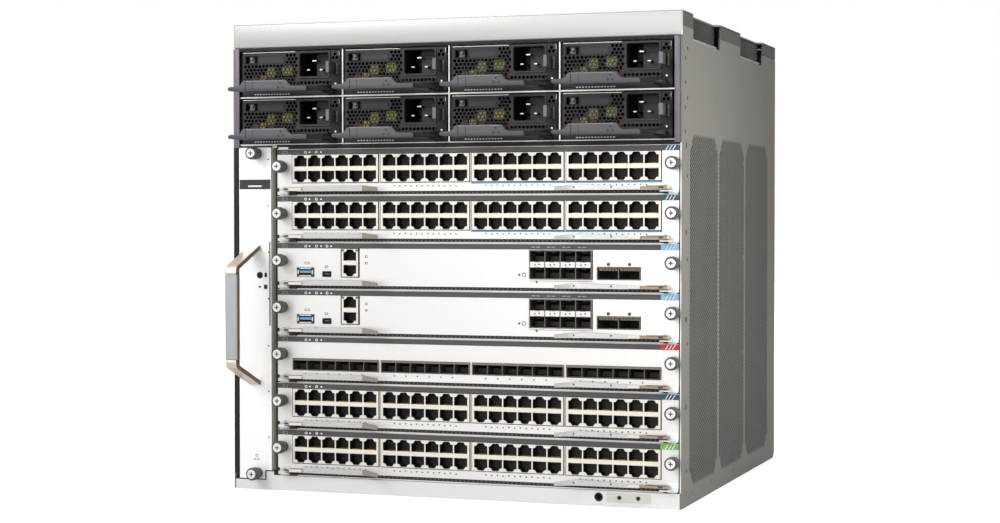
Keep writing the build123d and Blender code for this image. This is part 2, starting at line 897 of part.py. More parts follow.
def fan_handle():
    """Bail handle bent from flat bar, with feet on the fan tray panel."""
    x = tray_left + tray_screw_inset
    reach = front - handle_reach
    grip_high = grip_low + grip_length
    half = handle_strap / 2
    outline = [(front, handle_low - half), (front, handle_low + half), (reach + handle_bar, grip_low + 1),
               (reach + handle_bar, grip_high - 1), (front, handle_high - half), (front, handle_high + half),
               (reach + half, grip_high + half), (reach, grip_high - half), (reach, grip_low + half),
               (reach + half, grip_low - half)]
    return sideways(outline, x - handle_width / 2, x + handle_width / 2)


rotor_hub_radius = 21.0
rotor_tip = 54.0
rotor_blades = 5
rotor_sides = 2 * rotor_blades
rotor_depth = 19.0
blade_chord = 20.0
blade_sheet = 2.0
blade_pitch = 55.0
blade_root = 2.0


def fan_rotor(y, z):
    """Hub with pitched blades, seated just off the motor bar."""
    high = frame_right - seat_gap
    low = high - rotor_depth
    hub = facets_along_x(low, high, y, z, rotor_hub_radius, rotor_sides)
    middle = (low + high) / 2
    span = rotor_tip - rotor_hub_radius + blade_root
    for blade in range(rotor_blades):
        turn = Pos(middle, y, z) * Rot(blade * 360 / rotor_blades, 0, 0)
        place = Pos(0, 0, rotor_tip - span / 2) * Rot(0, 0, blade_pitch)
        hub += turn * place * Box(blade_sheet, blade_chord, span)
    return hub


def save(name, shape):
    """Write one node; a list becomes a group of separate solids."""
    pieces = shape if isinstance(shape, (list, tuple)) else [shape]
    solids = []
    for piece in pieces:
        solids += piece.solids()
    whole = solids[0] if len(solids) == 1 else Compound(children=solids)
    export_step(whole, os.path.join("parts", name + ".step"))


os.makedirs("parts", exist_ok=True)

save("left_side_panel", side_panel(-1))
save("right_side_panel", side_panel(1))
save("top_cover", top_cover())
save("lift_plates", lift_plates())
save("bottom_pan", bottom_pan())
save("rear_panel", rear_panel())
save("top_bezel", top_bezel())
save("bottom_rail", bottom_rail())
save("power_shelf", power_shelf())
save("power_surround", power_surround())
save("power_backplane", power_backplane())
save("card_cage", card_cage())
save("card_guides", card_guides())
save("backplane", backplane())

for slot in range(1, slot_count + 1):
    save(f"card_{slot}", card(slot))
    save(f"card_{slot}_lever_left", card_lever(slot, 0))
    save(f"card_{slot}_lever_right", card_lever(slot, 1))

for row in range(row_count):
    for column in range(bay_columns):
        number = row * bay_columns + column + 1
        save(f"power_supply_{number}", supply(row, column))
        save(f"supply_lever_{number}", supply_lever(row, column))

save("fan_tray", fan_tray())
save("fan_handle", fan_handle())
save("beacon_button", beacon_button())
for number, (y, z) in enumerate(fan_centres(), start=1):
    save(f"fan_rotor_{number}", fan_rotor(y, z))
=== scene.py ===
import bpy, bmesh, math
from mathutils import Matrix, Vector


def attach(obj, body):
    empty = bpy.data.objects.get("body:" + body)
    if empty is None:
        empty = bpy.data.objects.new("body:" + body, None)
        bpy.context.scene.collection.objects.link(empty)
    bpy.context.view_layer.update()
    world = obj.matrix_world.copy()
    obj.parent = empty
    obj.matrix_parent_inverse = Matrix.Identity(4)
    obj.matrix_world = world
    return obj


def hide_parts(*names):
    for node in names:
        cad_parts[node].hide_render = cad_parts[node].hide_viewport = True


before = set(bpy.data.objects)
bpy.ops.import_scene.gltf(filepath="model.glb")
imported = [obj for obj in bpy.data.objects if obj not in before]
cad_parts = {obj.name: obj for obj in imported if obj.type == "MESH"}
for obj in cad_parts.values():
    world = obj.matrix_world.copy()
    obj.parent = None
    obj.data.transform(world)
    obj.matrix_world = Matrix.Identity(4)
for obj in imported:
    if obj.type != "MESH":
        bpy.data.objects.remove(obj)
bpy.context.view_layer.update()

print("frame loaded,", len(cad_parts), "nodes")

mm = 0.001

# sizes in millimetres that several pieces share: the origin is the middle of the underside
chassis = {
    "front": -207.0, "back": 207.0, "outer": 219.695, "inner": 218.095, "height": 442.2, "sheet": 1.6,
    "cardLeft": -173.645, "cardRight": 217.345, "slotFirst": 14.2, "slotPitch": 44.2, "slotCount": 7,
    "shelfBase": 327.0, "rowPitch": 45.0, "bayPitch": 106.4975, "bezelBase": 419.7, "shelfTop": 418.6,
}
front = chassis["front"]


# ---- materials ----
# colours are written as sRGB hex and turned to the linear values that shaders take
def linear(hexColour):
    parts = [int(hexColour[i:i + 2], 16) / 255 for i in (1, 3, 5)]
    return [c / 12.92 if c <= 0.04045 else ((c + 0.055) / 1.055) ** 2.4 for c in parts] + [1.0]


def addNode(material, kind, values=None, links=None, **settings):
    node = material.node_tree.nodes.new(kind)
    for name, value in settings.items():
        setattr(node, name, value)
    for name, value in (values or {}).items():
        node.inputs[name].default_value = value
    for name, (source, output) in (links or {}).items():
        material.node_tree.links.new(source.outputs[output], node.inputs[name])
    return node


def newMaterial(name, metallic=0.0, roughness=0.5, ior=1.5, coat=0.0):
    material = bpy.data.materials.new(name)
    material.use_nodes = True
    shader = material.node_tree.nodes["Principled BSDF"]
    shader.inputs["Metallic"].default_value = metallic
    shader.inputs["Roughness"].default_value = roughness
    shader.inputs["IOR"].default_value = ior
    shader.inputs["Coat Weight"].default_value = coat
    return material, shader


def surface(name, colour, other, grainMm, stretch=(1, 1, 1), metallic=0.0, roughness=(0.4, 0.55), bump=0.02,
            bumpMm=0.3, cloudMm=90.0, ior=1.5, coat=0.0):
    # two close colours mixed by a slow cloud and a fine grain, which also moves roughness and bump
    material, shader = newMaterial(name, metallic, roughness[0], ior, coat)
    place = addNode(material, "ShaderNodeTexCoord")
    shape = addNode(material, "ShaderNodeMapping", links={"Vector": (place, "Object")})
    shape.inputs["Scale"].default_value = stretch
    grain = addNode(material, "ShaderNodeTexNoise", {"Scale": 1000.0 / grainMm, "Detail": 4.0, "Roughness": 0.6},
                    {"Vector": (shape, "Vector")})
    cloud = addNode(material, "ShaderNodeTexNoise", {"Scale": 1000.0 / cloudMm, "Detail": 2.0},
                    {"Vector": (place, "Object")})
    both = addNode(material, "ShaderNodeMath", {1: 0.5}, {0: (grain, 0)}, operation="MULTIPLY")
    both = addNode(material, "ShaderNodeMath", {1: 0.5, 2: 0.0}, {0: (cloud, 0), 2: (both, 0)},
                   operation="MULTIPLY_ADD")
    tint = addNode(material, "ShaderNodeMix", links={"Factor": (both, 0)}, data_type="RGBA")
    tint.inputs[6].default_value = linear(colour)
    tint.inputs[7].default_value = linear(other)
    material.node_tree.links.new(tint.outputs[2], shader.inputs["Base Color"])
    rough = addNode(material, "ShaderNodeMapRange", {"To Min": roughness[0], "To Max": roughness[1]},
                    {"Value": (grain, 0)})
    material.node_tree.links.new(rough.outputs[0], shader.inputs["Roughness"])
    relief = addNode(material, "ShaderNodeBump", {"Strength": bump, "Distance": bumpMm * mm},
                     {"Height": (grain, 0)})
    material.node_tree.links.new(relief.outputs[0], shader.inputs["Normal"])
    return material


# powder-coated steel: an even satin skin with a fine orange peel
powderGrey = surface("powderCoatGrey", "#696560", "#716d67", 1.2, roughness=(0.42, 0.55), bump=0.12, bumpMm=0.12)
# clear-coated sheet of the perforated fields: the same paint, a little duller where it is punched
punchedGrey = surface("punchedSteelGrey", "#595752", "#605d58", 0.8, roughness=(0.45, 0.6), bump=0.08, bumpMm=0.1)
# satin anodised aluminium: long fine lines along the strip
satinStrip = surface("satinAnodisedAluminium", "#cdccc9", "#d6d5d2", 1.5, (0.04, 1, 1), 0.55, (0.3, 0.42),
                     0.05, 0.05)
bezelSatin = surface("satinBezelAluminium", "#b2b1ae", "#bbbab7", 1.5, (0.04, 1, 1), 0.3, (0.34, 0.46), 0.05, 0.05)
railSatin = surface("satinRailAluminium", "#d6d5d3", "#dfdedc", 1.5, (0.04, 1, 1), 0.35, (0.34, 0.46), 0.05, 0.05)
# the top cover's side flanges: the side panels' powder coat painted darker, as the shade that falls on the tops of the
# sides
coverShadeGrey = surface("powderCoatCoverShade", "#403e3a", "#474541", 1.2, roughness=(0.42, 0.55), bump=0.12, bumpMm=0.12)
# nickel-plated sheet of the card faces, brushed upwards and nearly white under soft light
cardSheet = surface("brushedNickelSheet", "#dddbd8", "#e8e6e3", 1.0, (1, 1, 0.05), 0.45, (0.26, 0.4), 0.04, 0.05)
traySheet = surface("brushedZincSheet", "#f3f3f2", "#fafaf9", 1.2, (1, 1, 0.04), 0.35, (0.28, 0.42), 0.05, 0.05)
# zinc-plated steel, also used as a painted highlight on the supplies' folded top edge
zincAndHighlight = surface("zincPlatedSteelAndHighlight", "#b9b8b2", "#cac8c1", 6.0, metallic=0.8, roughness=(0.3, 0.5), bump=0.03)
bladeSteel = surface("stainlessBladeSteel", "#bfbdbb", "#cdcbc9", 1.0, (0.05, 1, 1), 0.4, (0.22, 0.36), 0.05, 0.04)
camBronze = surface("chromatedCamSteel", "#d6cfc4", "#e1dbd1", 1.5, metallic=0.2, roughness=(0.32, 0.5), bump=0.06)
shieldTin = surface("tinPlatedShield", "#dfd8cc", "#e9e3d8", 2.0, metallic=0.25, roughness=(0.28, 0.4), bump=0.02)
cageNickel = surface("nickelCageSheet", "#6d645b", "#7f766c", 1.5, metallic=0.5, roughness=(0.28, 0.42), bump=0.03)
bandGrey = surface("printedHeaderBand", "#3f3b40", "#484449", 0.8, roughness=(0.42, 0.55), bump=0.05, bumpMm=0.1)
supplyDark = surface("darkPaintedSteel", "#1f1d23", "#26242a", 0.7, roughness=(0.45, 0.6), bump=0.12, bumpMm=0.1,
                     ior=1.38)
# the inlet's moulded core and the rating plates are a shade lighter than the painted front
coreGrey = surface("darkMouldedCore", "#29272d", "#313035", 0.5, roughness=(0.45, 0.6), bump=0.1, bumpMm=0.08, ior=1.4)
postPlum = surface("plumGreyMoulding", "#6a626d", "#736b77", 0.6, roughness=(0.38, 0.5), bump=0.1, bumpMm=0.1)
leverGrey = surface("greyGlassNylon", "#3c3a40", "#434147", 0.5, roughness=(0.42, 0.56), bump=0.15, bumpMm=0.08)
# black parts, and also the black strips, sheets and bodies that are painted shade in gaps, slits and hollows
deepBlack = surface("blackPolyesterAndShade", "#0d0c0e", "#131215", 0.6, roughness=(0.5, 0.65), bump=0.08, bumpMm=0.08,
                    ior=1.35)
portBlack = surface("socketBlackNylon", "#17141a", "#201c22", 0.6, roughness=(0.45, 0.6), bump=0.05, bumpMm=0.08,
                    ior=1.4)
meshDark = surface("conductiveGasket", "#3a3a36", "#5a5a53", 0.9, roughness=(0.6, 0.8), bump=0.4, bumpMm=0.2)
gripRubber = surface("greyGripRubber", "#a6a7a9", "#aeafb1", 0.5, roughness=(0.55, 0.7), bump=0.15, bumpMm=0.06)
armTan = surface("champagneAnodisedArm", "#dcc8b7", "#e7d5c6", 1.2, (1, 1, 0.1), 0.5, (0.32, 0.45), 0.05, 0.05)
knurlSteel = surface("knurledSteel", "#454442", "#565452", 0.8, metallic=0.4, roughness=(0.35, 0.5), bump=0.05)
camShade = surface("chromatedCamShade", "#98836a", "#a8937a", 1.5, metallic=0.25, roughness=(0.36, 0.5), bump=0.05)
# the flared blade ends, painted darker as shade
bladeShade = surface("flaredBladeEndShade", "#8d857c", "#999188", 1.0, (0.05, 1, 1), 0.3, (0.3, 0.42), 0.05, 0.04)
# olive chromate, also the painted shade on the fan handle's right sides
oliveEdgeAndShade = surface("oliveChromateAndShade", "#5a4b3c", "#655545", 0.8, metallic=0.2, roughness=(0.4, 0.55), bump=0.05)
# bright turned steel of the screw faces, also the painted highlight on the inlet blade tips
brightSteelAndHighlight = surface("turnedScrewFaceAndHighlight", "#e2e1de", "#eeedea", 0.8, metallic=0.35, roughness=(0.28, 0.4), bump=0.03)
tabGrey = surface("greyLatchNylon", "#67666b", "#6f6e73", 0.5, roughness=(0.45, 0.6), bump=0.1, bumpMm=0.08)
whiteInk = surface("whiteInk", "#e9e8e6", "#f0efed", 0.5, roughness=(0.5, 0.6), bump=0.02)
dashGrey = surface("faintPrint", "#8d8a90", "#97949a", 0.5, roughness=(0.5, 0.6), bump=0.02)
darkInk = surface("darkInk", "#3b3a3d", "#454447", 0.5, roughness=(0.5, 0.6), bump=0.02)
goldPlate = surface("goldPlatedContact", "#c9a14a", "#dcb65f", 0.8, metallic=0.95, roughness=(0.22, 0.32), bump=0.01)
boardGreen = surface("solderMaskGreen", "#1f4a33", "#28583d", 0.9, roughness=(0.3, 0.42), bump=0.05, bumpMm=0.1)
chipBlack = surface("mouldedChipEpoxy", "#1d1d1f", "#262628", 0.5, roughness=(0.5, 0.62), bump=0.06, bumpMm=0.06)
sinkMetal = surface("extrudedSinkAluminium", "#9a9b9c", "#a9aaab", 1.5, (0.05, 1, 1), 0.85, (0.32, 0.45), 0.04)
tongueBlue = surface("blueSocketTongue", "#4790cc", "#63a8da", 0.6, roughness=(0.35, 0.5), bump=0.02)
tapeYellow = surface("yellowWindingTape", "#8e9033", "#a9a94c", 1.5, roughness=(0.3, 0.45), bump=0.1)
partRed = surface("redFilmPart", "#7e2427", "#923033", 1.0, roughness=(0.35, 0.5), bump=0.05)
lensGreen = surface("greenLens", "#2f7a4c", "#3c8c5a", 0.8, roughness=(0.2, 0.3), bump=0.01, coat=0.5)
paleTab = surface("paleBlueLabelTab", "#e8f2f5", "#f0f7f9", 0.8, roughness=(0.35, 0.5), bump=0.02)
tealInk = surface("tealInk", "#2f86ab", "#3a92b6", 0.6, roughness=(0.4, 0.5), bump=0.02)
tagNavy = surface("navyTag", "#07415c", "#0b4b69", 0.6, roughness=(0.38, 0.5), bump=0.02)
tagSky = surface("skyTag", "#74b7da", "#80c0e0", 0.6, roughness=(0.38, 0.5), bump=0.02)
tagRed = surface("redTag", "#bd1016", "#c8181e", 0.6, roughness=(0.38, 0.5), bump=0.02)
# strips beside the card cage: sealant grey-green, a chromated edge and the dark gap behind
sealGreen = surface("greyGreenSeal", "#7d8884", "#87928e", 0.7, roughness=(0.5, 0.65), bump=0.08, bumpMm=0.1)
edgeBrown = surface("chromatedEdge", "#715a48", "#7d6552", 0.8, metallic=0.2, roughness=(0.4, 0.55), bump=0.05)
tagGreen = surface("greenTag", "#67b346", "#72bc51", 0.6, roughness=(0.38, 0.5), bump=0.02)
print("materials made")


# ---- mesh helpers: everything is drawn in millimetres and scaled once, when a piece is finished ----
alongAxis = {
    "x": lambda p, d: Vector((d, p[0], p[1])),
    "y": lambda p, d: Vector((p[0], d, p[1])),
    "z": lambda p, d: Vector((p[0], p[1], d)),
}


def paint(faces, slot):
    for face in faces:
        face.material_index = slot


def soften(bm, faces, width, segments=2):
    edges = list({edge for face in faces for edge in face.edges})
    bmesh.ops.bevel(bm, geom=edges, offset=width, offset_type="OFFSET", segments=segments, profile=0.5,
                    affect="EDGES", material=-1, clamp_overlap=True)


def addBox(bm, x, y, z, slot=0, bevel=0.0, segments=2):
    size = [high - low for low, high in (x, y, z)]
    middle = [(high + low) / 2 for low, high in (x, y, z)]
    made = bmesh.ops.create_cube(bm, size=1.0, matrix=Matrix.Translation(middle) @ Matrix.Diagonal(size + [1.0]))
    faces = {face for vert in made["verts"] for face in vert.link_faces}
    paint(faces, slot)
    if bevel:
        soften(bm, faces, bevel, segments)


def thicken(bm, faces, axis, depth):
    # flat faces become a closed sheet
    made = bmesh.ops.extrude_face_region(bm, geom=faces)
    moved = [item for item in made["geom"] if isinstance(item, bmesh.types.BMVert)]
    bmesh.ops.translate(bm, vec=alongAxis[axis]((0, 0), depth), verts=moved)
    walls = {face for vert in moved for face in vert.link_faces} | {face for face in faces if face.is_valid}
    bmesh.ops.recalc_face_normals(bm, faces=list(walls))
    return walls


def addPrism(bm, points, axis, low, high, slot=0, bevel=0.0, segments=2):
    # an outline, extruded along one axis
    verts = [bm.verts.new(alongAxis[axis](p, low)) for p in points]
    face = bm.faces.new(verts)
    walls = thicken(bm, [face], axis, high - low)
    paint(walls, slot)
    if bevel:
        soften(bm, walls, bevel, segments)
    return walls


def addSheet(bm, loops, axis, low, high, slot=0):
    # a flat sheet with holes: the first loop is the outside
    edges = []
    for points in loops:
        verts = [bm.verts.new(alongAxis[axis](p, low)) for p in points]
        edges += [bm.edges.new((verts[i - 1], verts[i])) for i in range(len(verts))]
    made = bmesh.ops.triangle_fill(bm, use_beauty=True, use_dissolve=False, edges=edges)
    faces = [item for item in made["geom"] if isinstance(item, bmesh.types.BMFace)]
    walls = thicken(bm, faces, axis, high - low)
    paint(walls, slot)
    return walls


def ring(cx, cz, radius, count):
    turn = [2 * math.pi * i / count for i in range(count)]
    return [(cx + radius * math.cos(a), cz + radius * math.sin(a)) for a in turn]


def printed(bm, loops, slot, y=front):
    # ink or a thin plate on the front: a sheet a tenth of a millimetre proud
    addSheet(bm, loops, "y", y - 0.12, y + 0.1, slot)


def dash(bm, x0, x1, z0, z1, slot, y=front):
    addBox(bm, (x0, x1), (y - 0.12, y + 0.1), (z0, z1), slot)


def dot(bm, x, z, radius, slot, y=front, count=14):
    addPrism(bm, ring(x, z, radius, count), "y", y - 0.12, y + 0.1, slot)


def rectangle(low, high, bottom, top, corner=0.0, steps=3):
    # a rectangle, with round corners where corner isn't 0
    if not corner:
        return [(low, bottom), (high, bottom), (high, top), (low, top)]
    points = []
    for cx, cz, start in ((high - corner, bottom + corner, -90), (high - corner, top - corner, 0),
                          (low + corner, top - corner, 90), (low + corner, bottom + corner, 180)):
        for i in range(steps + 1):
            a = math.radians(start + 90 * i / steps)
            points.append((cx + corner * math.cos(a), cz + corner * math.sin(a)))
    return points


def asMesh(bm, name):
    mesh = bpy.data.meshes.new(name)
    bm.to_mesh(mesh)
    bm.free()
    return mesh


def stamp(bm, mesh, offset=(0, 0, 0), turn=None):
    # a copy of a small mesh, moved into place before it joins
    place = Matrix.Translation(offset)
    if turn is not None:
        place = place @ turn
    copy = mesh.copy()
    copy.transform(place)
    bm.from_mesh(copy)
    bpy.data.meshes.remove(copy)


def turnedMesh(profile, steps, slot=0):
    # (radius, y) points spun about the Y axis, as on a lathe
    bm = bmesh.new()
    verts = [bm.verts.new((r, y, 0)) for r, y in profile]
    edges = [bm.edges.new((verts[i], verts[i + 1])) for i in range(len(verts) - 1)]
    bmesh.ops.spin(bm, geom=verts + edges, cent=(0, 0, 0), axis=(0, 1, 0), angle=2 * math.pi, steps=steps,
                   use_merge=True)
    bmesh.ops.remove_doubles(bm, verts=bm.verts, dist=0.001)
    bmesh.ops.recalc_face_normals(bm, faces=bm.faces)
    paint(bm.faces, slot)
    return asMesh(bm, "turned")


def addTurned(bm, profile, centre, steps, slot=0):
    stamp(bm, turnedMesh(profile, steps, slot), (centre[0], 0, centre[1]))


def finishPiece(name, bm, materials, body, nodes=(), angle=32.0):
    bmesh.ops.scale(bm, vec=(mm, mm, mm), verts=bm.verts)
    mesh = asMesh(bm, name)
    for material in materials:
        mesh.materials.append(material)
    mesh.shade_smooth()
    mesh.set_sharp_from_angle(angle=math.radians(angle))
    piece = bpy.data.objects.new(name, mesh)
    bpy.context.scene.collection.objects.link(piece)
    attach(piece, body)
    if nodes:
        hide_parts(*nodes)
    return piece


def holeSheet(bm, outline, corners, pitch, hole, axis, low, high, slot=0, upright=False, keepOut=(), cutOuts=()):
    # a sheet full of staggered holes: one six-sided ring per hole, and plain metal out to the outline
    # corners is (low u, high u, low v, high v, cut corner) of the field; upright turns the rows into columns
    side = pitch / math.sqrt(3)
    cellBm = bmesh.new()
    bmesh.ops.create_circle(cellBm, segments=6, radius=side)
    bmesh.ops.create_circle(cellBm, segments=6, radius=hole)
    bmesh.ops.bridge_loops(cellBm, edges=cellBm.edges[:])
    cell = asMesh(cellBm, "cell")
    u0, u1, v0, v1, cut = corners
    rowStep = pitch * math.sqrt(3) / 2
    rows = int((v1 - v0 - 2 * hole) / rowStep) + 1
    startV = (v0 + v1) / 2 - (rows - 1) * rowStep / 2
    flat = bmesh.new()
    rowMeshes = {}
    for row in range(rows):
        v = startV + row * rowStep
        inset = max(0.0, cut - (v - v0), cut - (v1 - v))
        phase = (u0 + u1) / 2 + (pitch / 2 if row % 2 else 0.0)
        first = math.ceil((u0 + inset + hole - phase) / pitch)
        last = math.floor((u1 - inset - hole - phase) / pitch)
        spans = []
        for i in range(first, last + 1):
            u = phase + i * pitch
            if any(k[0] < u < k[1] and k[2] < v < k[3] for k in keepOut):
                continue
            if spans and i == spans[-1][-1] + 1:
                spans[-1].append(i)
            else:
                spans.append([i])
        for span in spans:
            count = len(span)
            if count not in rowMeshes:
                rowBm = bmesh.new()
                for i in range(count):
                    stamp(rowBm, cell, (i * pitch, 0, 0))
                rowMeshes[count] = asMesh(rowBm, "row")
            stamp(flat, rowMeshes[count], (phase + span[0] * pitch, v, 0))
    bmesh.ops.remove_doubles(flat, verts=flat.verts, dist=0.05)
    border = [edge for edge in flat.edges if len(edge.link_faces) == 1 and edge.calc_length() > (side + hole) / 2]
    for loop in [outline] + list(cutOuts):
        verts = [flat.verts.new((p[0], p[1], 0)) for p in loop]
        border += [flat.edges.new((verts[i - 1], verts[i])) for i in range(len(verts))]
    bmesh.ops.triangle_fill(flat, use_beauty=True, use_dissolve=False, edges=border)
    walls = thicken(flat, flat.faces[:], "z", high - low)
    paint(walls, slot)
    # the field is drawn flat, then laid into its plane
    across, up, out = {"x": ((0, 1, 0), (0, 0, 1), (1, 0, 0)), "y": ((1, 0, 0), (0, 0, 1), (0, 1, 0))}[axis]
    if upright:
        across, up = up, across
    place = Matrix([(across[i], up[i], out[i], out[i] * low) for i in range(3)] + [(0, 0, 0, 1)])
    if place.determinant() < 0:
        bmesh.ops.reverse_faces(flat, faces=flat.faces)
    stamp(bm, asMesh(flat, "field"), turn=place)


# ---- camera, light and floor ----
# the camera stands where the photograph's perspective puts it
cameraPlace = {"lens": 70.95, "x": 0.6412, "y": -1.9027, "z": 0.2572, "yaw": 19.23, "pitch": -1.226}
cameraData = bpy.data.cameras.new("camera")
cameraData.lens = cameraPlace["lens"]
cameraData.sensor_width = 36.0
camera = bpy.data.objects.new("camera", cameraData)
camera.location = (cameraPlace["x"], cameraPlace["y"], cameraPlace["z"])
camera.rotation_euler = (math.radians(90 + cameraPlace["pitch"]), 0, math.radians(cameraPlace["yaw"]))
bpy.context.scene.collection.objects.link(camera)
bpy.context.scene.camera = camera

bpy.context.scene.view_settings.view_transform = "Standard"

lampSettings = {
    # name: (place, aims at, size, power)
    "key": ((-1.6, -2.6, 2.0), (0, 0, 0.2), 1.6, 72),
    "fill": ((0.2, -3.0, 0.7), (0, 0, 0.2), 2.0, 29),
    "side": ((0.6, -0.22, 0.3), (0.22, -0.16, 0.3), 0.2, 2.3),
    "back": ((-0.6, 2.6, 2.0), (0, 0, 0.2), 2.0, 75),
}
for name, (place, aim, size, power) in lampSettings.items():
    data = bpy.data.lights.new(name, "AREA")
    data.size = size
    data.energy = power
    lamp = bpy.data.objects.new(name, data)
    lamp.location = place
    lamp.visible_camera = False
    lamp.rotation_euler = (Vector(aim) - Vector(place)).to_track_quat("-Z", "Y").to_euler()
    bpy.context.scene.collection.objects.link(lamp)

world = bpy.data.worlds.new("studio")
bpy.context.scene.world = world
world.use_nodes = True
background = world.node_tree.nodes["Background"]
background.inputs["Color"].default_value = (1, 1, 1, 1)
seen = addNode(world, "ShaderNodeLightPath")
# reflections of the room fade to the back, so that the grazing side keeps its depth
toward = addNode(world, "ShaderNodeTexCoord")
parts = addNode(world, "ShaderNodeSeparateXYZ", links={0: (toward, "Generated")})
behind = addNode(world, "ShaderNodeMapRange", {"From Min": -0.2, "From Max": 0.8, "To Min": 1.0, "To Max": 0.25},
                 {"Value": (parts, "Y")})
mirrored = addNode(world, "ShaderNodeMath", links={0: (seen, "Is Glossy Ray"), 1: (behind, 0)}, operation="MULTIPLY")
shown = addNode(world, "ShaderNodeMath", links={0: (seen, "Is Camera Ray"), 1: (mirrored, 0)}, operation="MAXIMUM")
strength = addNode(world, "ShaderNodeMapRange", {"To Min": 0.17, "To Max": 1.0}, {"Value": (shown, 0)})
world.node_tree.links.new(strength.outputs[0], background.inputs["Strength"])

floorMaterial, floorShader = newMaterial("paleFloor", roughness=0.9)
floorShader.inputs["Base Color"].default_value = linear("#dcdcdc")
glow = addNode(floorMaterial, "ShaderNodeLightPath")
where = addNode(floorMaterial, "ShaderNodeTexCoord")
far = addNode(floorMaterial, "ShaderNodeVectorMath", links={0: (where, "Object")}, operation="LENGTH")
level = addNode(floorMaterial, "ShaderNodeMapRange", {"From Min": 0.6, "From Max": 1.5, "To Min": 0.62, "To Max": 1.0},
                {"Value": (far, "Value")})
shown = addNode(floorMaterial, "ShaderNodeMath", links={0: (glow, "Is Camera Ray"), 1: (level, 0)},
                operation="MULTIPLY")
floorShader.inputs["Emission Color"].default_value = (1, 1, 1, 1)
floorMaterial.node_tree.links.new(shown.outputs[0], floorShader.inputs["Emission Strength"])
floorBm = bmesh.new()
bmesh.ops.create_grid(floorBm, x_segments=1, y_segments=1, size=6.0)
bmesh.ops.translate(floorBm, vec=(0, 0, -0.0005), verts=floorBm.verts)
floorMesh = asMesh(floorBm, "floor")
floorMesh.materials.append(floorMaterial)
floorObject = bpy.data.objects.new("floor", floorMesh)
bpy.context.scene.collection.objects.link(floorObject)
print("camera, lamps and floor placed")


# ---- side panels ----
sidePanel = {
    "fieldStart": 30.0, "fieldWidth": 110.0, "fieldStep": 117.5, "fieldBase": 16.7, "fieldTop": 334.0,
    "fieldCorner": 14.0, "holePitch": 4.33, "holeRadius": 1.72, "fieldSheet": 1.0,
    "recessStart": 41.0, "recessStep": 198.0, "recessLength": 108.0, "recessFloor": 417.7, "seam": 429.0,
    "roundHoles": [(-194.2, 400.6), (-194.2, 378.9), (-194.2, 356.6), (-194.2, 335.0), (-186.8, 409.5),
                   (-186.8, 365.6), (-187, 296), (-187, 221), (-187, 146), (-187, 32)],
    "squareHoles": [(-190.8, 323.0), (-190.8, 245.5), (-190.8, 167.7), (-190.8, 89.7)],
    "screws": [(-174.4, 412.4), (-174.4, 368.4), (-74.6, 412.2), (-74.6, 368.4), (27.5, 412.4), (27.5, 368.4),
               (127.5, 412.4), (127.5, 368.4), (-95.9, 343.4), (115, 343.4), (173, 409), (173, 295.5),
               (173, 220), (173, 144.7), (173, 31), (149, 378.5), (-63.3, 313), (-63.3, 219), (-63.3, 124),
               (-63.3, 30), (46.2, 313), (46.2, 219), (46.2, 124), (46.2, 30), (-191, 10), (-167.5, 10),
               (-128, 10), (-90, 10), (6, 10), (102, 10)],
}


def cutCorners(y0, y1, z0, z1, c):
    return [(y0 + c, z0), (y1 - c, z0), (y1, z0 + c), (y1, z1 - c),
            (y1 - c, z1), (y0 + c, z1), (y0, z1 - c), (y0, z0 + c)]


def sidePanelPieces(name, side, node):
    s = sidePanel
    outer, inner = chassis["outer"], chassis["inner"]
    low, high = sorted((side * inner, side * outer))
    recesses = [(front + s["recessStart"] + i * s["recessStep"], s["recessLength"]) for i in range(2)]
    outline = [(front, 0), (chassis["back"] - 5, 0), (chassis["back"], 5), (chassis["back"], s["seam"] - 0.4)]
    for y0, length in reversed(recesses):
        outline += [(y0 + length, s["seam"] - 0.4), (y0 + length, s["recessFloor"]), (y0, s["recessFloor"]),
                    (y0, s["seam"] - 0.4)]
    outline += [(front + 4.3, s["seam"] - 0.4), (front + 4.3, chassis["bezelBase"] - 0.4),
                (front, chassis["bezelBase"] - 0.4)]
    loops = [outline]
    c = s["fieldCorner"]
    face = side * (outer - 0.25)
    a, b = sorted((face, face - side * s["fieldSheet"]))
    for i in range(3):
        y0 = front + s["fieldStart"] + i * s["fieldStep"]
        y1 = y0 + s["fieldWidth"]
        z0, z1 = s["fieldBase"], s["fieldTop"]
        loops.append(cutCorners(y0, y1, z0, z1, c))
        bm = bmesh.new()
        # rows run upwards here, so the field's corners and outline are given as (z, y)
        border = [(z, y) for y, z in cutCorners(y0 - 2, y1 + 2, z0 - 2, z1 + 2, c)]
        holeSheet(bm, border, (z0 + 0.6, z1 - 0.6, y0 + 0.6, y1 - 0.6, c), s["holePitch"], s["holeRadius"], "x",
                  a, b, upright=True)
        finishPiece("%sField%d" % (name, i + 1), bm, [punchedGrey], "chassis")
    loops += [ring(y, z, 1.9, 12) for y, z in s["roundHoles"]]
    loops += [rectangle(y - 2, y + 2, z - 2.4, z + 2.4) for y, z in s["squareHoles"]]
    bm = bmesh.new()
    addSheet(bm, loops, "x", low, high)
    # the small holes end in shadow just under the skin
    under = sorted((side * (outer - 0.25), side * (outer - 0.7)))
    for y, z in s["squareHoles"]:
        addBox(bm, under, (y - 2, y + 2), (z - 2.4, z + 2.4), 1)
    for y, z in s["roundHoles"]:
        addPrism(bm, ring(y, z, 1.9, 12), "x", under[0], under[1], 1)
    head = turnedMesh([(0, -0.55), (1.6, -0.45), (2.6, -0.05), (2.7, 0.1), (0, 0.1)], 12)
    aim = Matrix.Rotation(math.radians(90 * side), 4, "Z")
    for y, z in s["screws"]:
        stamp(bm, head, (side * outer, y, z), aim)
    finishPiece(name, bm, [powderGrey, deepBlack], "chassis", [node])


sidePanelPieces("sidePanelLeft", -1, "left_side_panel")
sidePanelPieces("sidePanelRight", 1, "right_side_panel")
print("side panels made")
